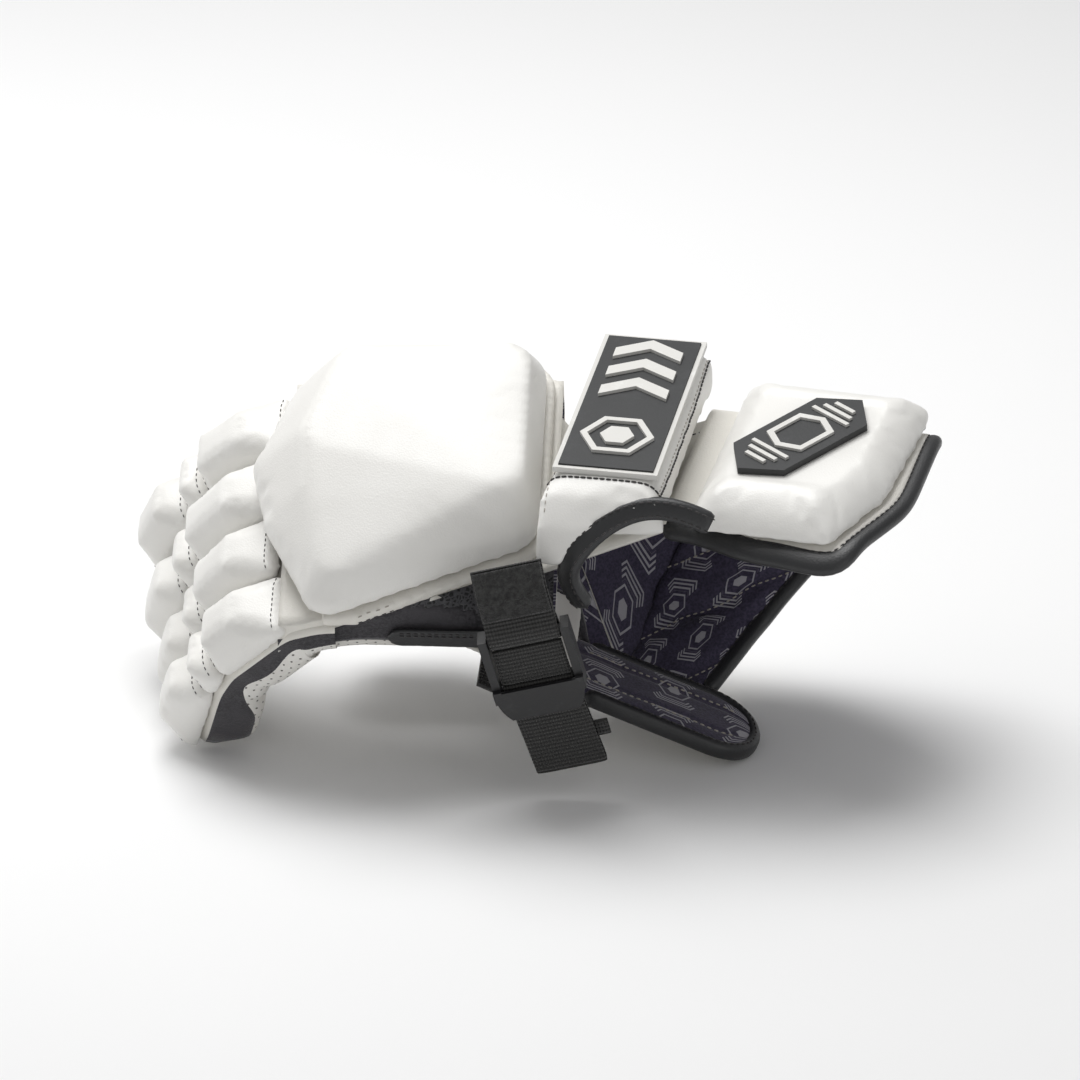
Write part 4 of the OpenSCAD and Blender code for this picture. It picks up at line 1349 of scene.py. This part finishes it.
def build_arch(bar):
    """Rolled leather edging round the arch in the wrist pad's near end, curling in at its front."""
    low, high = span(WRIST, "wrist_binding")
    radius = (high[0] - low[0]) / (1 + math.cos(math.radians(88)))
    cx, cz = low[0] + radius, high[2] - radius
    tree = tree_of(bar)
    along_y = WRIST.rows[1]
    line, facing = [], []
    y = low[1]
    angles = np.linspace(ARCH_START, ARCH_END, 50)
    for a in np.maximum(angles, ARCH_TOP):
        probe = WRIST.out((cx + (radius + 2.2 * MM) * math.cos(a), low[1] - 50 * MM,
                           cz + (radius + 2.2 * MM) * math.sin(a)))
        hit = tree.ray_cast(Vector(probe), Vector(along_y), 80 * MM)[0]
        if hit is not None:
            y = WRIST.into(np.array(hit))[1] + 1.0 * MM
        curl = smooth_step((a - math.radians(158)) / math.radians(36))
        r = radius - 0.6 * MM - 7 * MM * curl
        line.append((cx + r * math.cos(a), y + 4 * MM * curl, cz + r * math.sin(a)))
        facing.append((0.45 * math.cos(a), -1.0, 0.45 * math.sin(a)))
    for k, a in enumerate(angles[angles < ARCH_TOP]):
        line[k] = (cx + (radius - 0.6 * MM) * math.cos(a), line[k][1], cz + (radius - 0.6 * MM) * math.sin(a))
    path = relaxed(WRIST.out(line), 20)
    normal = np.array([unit(f) for f in facing]) @ WRIST.rows
    along = lengths(path)
    taper = np.clip(np.minimum(along + 2 * MM, along[-1] - along) / (3 * MM), 0.05, 1) ** 0.5
    shapes = np.array([oval(4.0 * MM * t, 2.7 * MM * t, 20, 2.8) for t in taper])
    piece = tube("arch_edging", sweep(path, normal, shapes), [BLACK_LEATHER])
    place(piece, "wrist_pad", "black_leather", "wrist_binding")
    tree = tree_of(piece)
    across = np.cross(np.gradient(path, axis=0), normal)
    across /= np.linalg.norm(across, axis=1, keepdims=True)
    runs = []
    for side in (-1, 1):
        found = [tree.ray_cast(Vector(p), Vector(-n)) for p, n in
                 zip(path + normal * 20 * MM + across * side * 2.4 * MM, normal)]
        found = [(f[0], f[1]) for f in found if f[0] is not None]
        runs.append((np.array([f[0] for f in found]), np.array([f[1] for f in found])))
    seam = stitches("arch_seams", runs, DARK_THREAD, pitch=2.8 * MM)
    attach(seam, "wrist_pad")


def build_wrist_details(pads):
    """Stitching round the badge and the seams of the wrist pad."""
    bar = pads["wrist_bar"]
    low, high = span(WRIST, "wrist_badge_border")
    up = WRIST.rows[2]
    grow = 1.1 * MM
    rect = [(low[0] - grow, low[1] - grow), (high[0] + grow, low[1] - grow), (high[0] + grow, high[1] + grow),
            (low[0] - grow, high[1] + grow), (low[0] - grow, low[1] - grow)]
    lines = [WRIST.out([(x, y, high[2] + 10 * MM) for x, y in pair]) for pair in zip(rect, rect[1:])]
    sew("badge_seam", lines, -up, bar, DARK_THREAD, "wrist_pad", pitch=2.2 * MM, length=1.9 * MM, radius=0.4 * MM)
    pad_low, pad_high = span(WRIST, "wrist_pad")
    edges = [WRIST.out([(x, pad_low[1] + 8 * MM, pad_high[2] + 10 * MM), (x, pad_high[1] - 3 * MM,
             pad_high[2] + 10 * MM)]) for x in (pad_low[0] + 2.2 * MM, pad_high[0] - 2.2 * MM)]
    sew("bar_seams", edges, -up, bar, PALE_THREAD, "wrist_pad", pitch=2.6 * MM, length=1.5 * MM, radius=0.22 * MM)


def dress_nodes():
    """Materials and softened edges of the hard nodes carried over from the CAD."""
    looks = {"backhand_plate": (INSERT, 0.4), "wrist_pad_plate": (INSERT, 0.3), "wrist_badge": (BLACK_RUBBER, 0.5),
             "wrist_badge_border": (WHITE_RUBBER, 0.3), "wrist_badge_marks": (WHITE_RUBBER, 0.4),
             "cuff_badge": (BLACK_RUBBER, 0.6), "cuff_badge_ribs": (WHITE_RUBBER, 0.3),
             "ladder_buckle": (BUCKLE_NYLON, 0.5)}
    for node, (material, radius) in looks.items():
        obj = frame["nodes"][node]
        obj.data.materials.clear()
        obj.data.materials.append(material)
        bevel = obj.modifiers.new("edges", "BEVEL")
        bevel.width = radius * MM
        bevel.segments = 3
        bevel.limit_method = "ANGLE"


# ---------------------------------------------------------------- palm flap


def flap_width(x, length, half):
    """Half width of the flap at x, with its end rounded."""
    r = half * 0.85
    over = np.clip(x - (length - r), 0, r)
    return half - r + np.sqrt(np.maximum(r * r - over * over, 0)) - (half - r) * (over / r) ** 3 * 0.6


def build_flap():
    """Palm flap: lining on top, white leather below, leather edging round it."""
    low, high = span(FLAP, "flap_lining")
    bottom = span(FLAP, "flap_shell")[0][2]
    length, centre = high[0], (low[1] + high[1]) / 2
    half = (high[1] - low[1]) / 2
    rows, columns = 44, 27
    share = np.linspace(0, 1, rows) ** 0.9
    grid = np.zeros((rows, columns, 3))
    depth = np.zeros((rows, columns))
    for i, x in enumerate(low[0] - 6 * MM + share * (length - low[0] + 6 * MM - 0.5 * MM)):
        w = flap_width(x, length, half)
        for j, s in enumerate(np.linspace(-1, 1, columns)):
            edge = min(1 - abs(s), (length - x) / half)
            puff = 1 - (1 - min(edge * 3, 1)) ** 2
            seam = math.exp(-(((abs(s) - 0.45) / 0.05) ** 2)) * 0.7 * MM
            ripple = 0.3 * MM * noise.noise(Vector((x, s * w, 0)) * 90)
            grid[i, j] = (x, centre + s * w, 0.9 * MM * puff - seam + ripple)
            depth[i, j] = -bottom * (0.82 + 0.16 * puff)
    top = np.array([FLAP.out(r) for r in grid])
    normals = np.broadcast_to(FLAP.rows[2], top.shape)
    piece = sheet("flap_padding", top, normals, depth, [LINING, BASE_PU])
    lift_to_floor(piece)
    place(piece, "palm_flap", "lining", "flap_shell", "flap_lining")
    runs = []
    for s in (6, columns - 7):
        runs.append((top[4:-6, s], normals[4:-6, s]))
    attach(stitches("flap_seams", runs, PALE_THREAD, pitch=2.6 * MM, length=1.6 * MM), "palm_flap")
    start = low[0] + 1.5 * MM
    straight = np.linspace(start, length, 60)
    outline = [(x, centre - flap_width(x, length, half)) for x in straight]
    outline += [(x, centre + flap_width(x, length, half)) for x in straight[::-1]]
    path = relaxed(resample(np.array(outline), step=1.6 * MM), 3)
    flat = np.column_stack([path, np.full(len(path), bottom * 0.3)])
    line = FLAP.out(flat)
    along = lengths(line)
    taper = np.clip(np.minimum(along, along[-1] - along) / (3 * MM), 0.05, 1) ** 0.5
    shapes = np.array([oval(2.4 * MM * t, 3.1 * MM * t, 20, 2.6) for t in taper])
    edging = tube("flap_edging", sweep(line, FLAP.rows[2], shapes), [BLACK_LEATHER])
    lift_to_floor(edging)
    place(edging, "palm_flap", "black_leather", "flap_binding")
    tree = tree_of(edging)
    run = drop(line + FLAP.rows[2] * 15 * MM, -FLAP.rows[2], tree)
    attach(stitches("flap_edging_seam", [run], DARK_THREAD, pitch=2.8 * MM), "palm_flap")


def lift_to_floor(obj):
    """Flattens what would reach below the floor."""
    points = read_points(obj)
    points[:, 2] = np.maximum(points[:, 2], cad_low.z)
    write_points(obj, points)


# ---------------------------------------------------------------- strap


def ribbon(name, path, across, width, thickness, material):
    """Webbing along a path in the strap's (y, z) plane, its selvedges a little rounded."""
    path = relaxed(resample(path, step=0.8 * MM), 2)
    tangent = np.gradient(path, axis=0)
    tangent /= np.linalg.norm(tangent, axis=1, keepdims=True)
    normal = np.stack([tangent[:, 1], -tangent[:, 0]], 1)
    outline = oval(width / 2, thickness / 2, 28, 5.0)
    rings = np.zeros((len(path), len(outline), 3))
    for i, (p, n) in enumerate(zip(path, normal)):
        for j, (a, b) in enumerate(outline):
            rings[i, j] = (a + across, p[0] + n[0] * b, p[1] + n[1] * b)
    return tube(name, np.array([STRAP.out(r) for r in rings]), [material])


def turn_round(radius, a0, a1, z):
    """Points round a bar at height z between two angles."""
    return [(radius * math.cos(a), z + radius * math.sin(a)) for a in np.radians(np.linspace(a0, a1, 12))]


def build_strap():
    """Webbing anchor with its loop patch, folded strap end and the strap across the palm heel."""
    low, high = span(STRAP, "strap_anchor")
    tail_low, tail_high = span(STRAP, "strap_tail")
    drop_z = STRAP.into(pivot("strap_end_swing"))[2]
    web = high[0] - low[0]
    thick = 1.7 * MM
    turn = 2.6 * MM
    top = high[2]
    anchor = [(6.0 * MM, top), (0.5 * MM, 0.72 * top), (-1.0 * MM, 8 * MM), (-turn, 3 * MM)]
    anchor += turn_round(turn, 180, 360, 0)
    anchor += [(turn, 3 * MM), (1.0 * MM, 8 * MM), (1.0 * MM, 16 * MM)]
    piece = ribbon("strap_anchor_web", anchor, 0, web, thick, WEBBING)
    place(piece, "hand", "webbing", "strap_anchor")
    patch = [(4.4 * MM, top), (-1.1 * MM, 0.72 * top), (-2.4 * MM, 10 * MM)]
    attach(ribbon("loop_patch", patch, 0, web - 1 * MM, 1.6 * MM, LOOP_PATCH), "hand")
    window = [(-1.4 * MM, -3.4 * MM), (-1.8 * MM, 0.5 * drop_z), (-1.4 * MM, drop_z + 3.2 * MM)]
    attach(ribbon("buckle_web", window, 0, web - 0.6 * MM, thick, WEBBING), "buckle")
    lean = math.tan(math.radians(4))
    foot = tail_low[2] + 2 * MM
    gap = 1.15 * MM
    front = [(0.6 * MM - gap, foot), (0.6 * MM - gap, drop_z - 8 * MM), (-turn, drop_z - 3 * MM)]
    loop = turn_round(turn, 180, 0, drop_z)
    back = [(turn, drop_z - 3 * MM), (0.6 * MM + gap, drop_z - 8 * MM), (0.6 * MM + gap, foot)]
    fold = [(0.6 * MM + gap * math.cos(a), foot + gap * math.sin(a)) for a in np.radians((-30, -60, -90, -120, -150))]
    tail = ribbon("strap_tail_web", front + loop + back + fold, 0, web, thick, WEBBING)
    points = STRAP.into(read_points(tail))
    hang = np.clip(drop_z - 4 * MM - points[:, 2], 0, None)
    points[:, 0] += hang * lean
    points[:, 1] -= 6 * MM * (hang / (30 * MM)) ** 2 * 0.25
    write_points(tail, STRAP.out(points))
    place(tail, "strap_end", "webbing", "strap_tail")
    side = [(1.0 * MM, foot + 14 * MM), (1.0 * MM, foot + 8 * MM)]
    tab = ribbon("strap_tab", side, web / 2 + 1.5 * MM, 9 * MM, 1.4 * MM, WEBBING)
    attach(tab, "strap_end")
    build_palm_strap(web)


def build_palm_strap(web):
    node_low, node_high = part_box("palm_strap")
    points = corners("palm_strap")
    centre = points.mean(0)
    spread = points - centre
    axes = np.linalg.svd(spread, full_matrices=False)[2]
    own = Axes(centre, axes[0], axes[1])
    reach = own.into(points).max(0)
    rows, columns = 40, 12
    grid = np.zeros((rows, columns, 3))
    for i, u in enumerate(np.linspace(-reach[0], reach[0], rows)):
        for j, v in enumerate(np.linspace(-reach[1], reach[1], columns)):
            grid[i, j] = (u, v, reach[2] + 0.4 * MM * math.sin(u * 90))
    top = np.array([own.out(r) for r in grid])
    normals = np.broadcast_to(own.rows[2], top.shape)
    piece = sheet("palm_strap_web", top, normals, 2 * reach[2], [WEBBING, WEBBING])
    place(piece, "hand", "webbing", "palm_strap")
    tree = tree_of(piece)
    lines = [own.out([(s * (reach[0] - 3 * MM), v, 20 * MM) for v in (-reach[1] + 2 * MM, reach[1] - 2 * MM)])
             for s in (-1, 1)]
    runs = [drop(resample(l, step=1.5 * MM), -own.rows[2], tree) for l in lines]
    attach(stitches("palm_strap_seams", runs, DARK_THREAD), "hand")


# ---------------------------------------------------------------- block seams


def build_block_seams(pads):
    """Stitched lines across the ends of every block."""
    for node, body, axes in BLOCKS:
        pad = pads[node.replace("_pad", "_block")]
        low, high = span(axes, node)
        lift = high[2] + 10 * MM
        lines = []
        for x in (high[0] - 1.6 * MM, low[0] + 1.6 * MM):
            lines.append(axes.out([(x, low[1] + 2.5 * MM, lift), (x, high[1] - 2.5 * MM, lift)]))
        sew(node.replace("_pad", "_seam"), lines, -axes.rows[2], pad, DARK_THREAD, body,
            pitch=2.2 * MM, length=1.3 * MM, radius=0.2 * MM)


# ---------------------------------------------------------------- stage


def area_light(name, place, target, size, power):
    lamp = bpy.data.lights.new(name, "AREA")
    lamp.size = size
    lamp.energy = power
    obj = new_object(name, lamp)
    obj.location = place
    obj.rotation_mode = "QUATERNION"
    obj.rotation_quaternion = (Vector(target) - Vector(place)).to_track_quat("-Z", "Y")


def build_stage():
    """Pale floor, soft light and the camera at the photograph's angle."""
    floor_z = cad_low.z - 0.4 * MM
    size = 4.0
    p = Paint("floor", 0.75)
    p.bump(p.noise(40.0), 0.0002, 0.1)
    paint = p.done(p.mix(p.noise(3.0), (0.84, 0.84, 0.84), (0.86, 0.86, 0.86)))
    floor = add_mesh("floor", [(-size, -size, floor_z), (size, -size, floor_z), (size, size, floor_z),
                               (-size, size, floor_z)], [(0, 1, 2, 3)], [paint])
    world = bpy.data.worlds.new("studio")
    bpy.context.scene.world = world
    world.use_nodes = True
    world.node_tree.nodes["Background"].inputs["Color"].default_value = (1, 1, 1, 1)
    world.node_tree.nodes["Background"].inputs["Strength"].default_value = 0.36
    middle = (cad_low + cad_high) / 2
    area_light("key", middle + Vector((-0.2, 0.3, 1.1)), middle, 0.8, 13.0)
    area_light("fill", middle + Vector((0.8, -1.0, 0.4)), middle, 0.8, 1.6)
    area_light("rim", middle + Vector((-0.9, 0.5, 0.5)), middle, 0.6, 2.0)
    azimuth, elevation, distance = math.radians(3.0), math.radians(25.0), 2.4
    back = Vector((math.sin(azimuth) * math.cos(elevation), -math.cos(azimuth) * math.cos(elevation),
                   math.sin(elevation)))
    lens = bpy.data.cameras.new("camera")
    camera = new_object("camera", lens)
    right = Vector((math.cos(azimuth), math.sin(azimuth), 0))
    above = back.cross(right)
    size = cad_high - cad_low
    width = 1.316 * size.x
    aim = Vector((middle.x, middle.y, cad_low.z)) + right * (0.0096 * size.x) + above * (0.4735 * size.z)
    camera.location = aim + back * distance
    camera.rotation_mode = "QUATERNION"
    camera.rotation_quaternion = (-back).to_track_quat("-Z", "Y")
    lens.sensor_width = 36
    lens.lens = 36 * distance / width
    lens.clip_end = 20
    bpy.context.scene.camera = camera
    bpy.context.scene.view_settings.view_transform = "Standard"


pads = build_pads()
for finger in FINGERS:
    finger_sleeve(finger)
thumb_sleeve()
build_hand()
build_base()
build_heel()
cuff_outside, cuff_normals = build_cuff()
build_wrist(cuff_outside, cuff_normals)
build_arch(pads["wrist_bar"])
build_wrist_details(pads)
build_flap()
build_strap()
build_block_seams(pads)
dress_nodes()
build_stage()
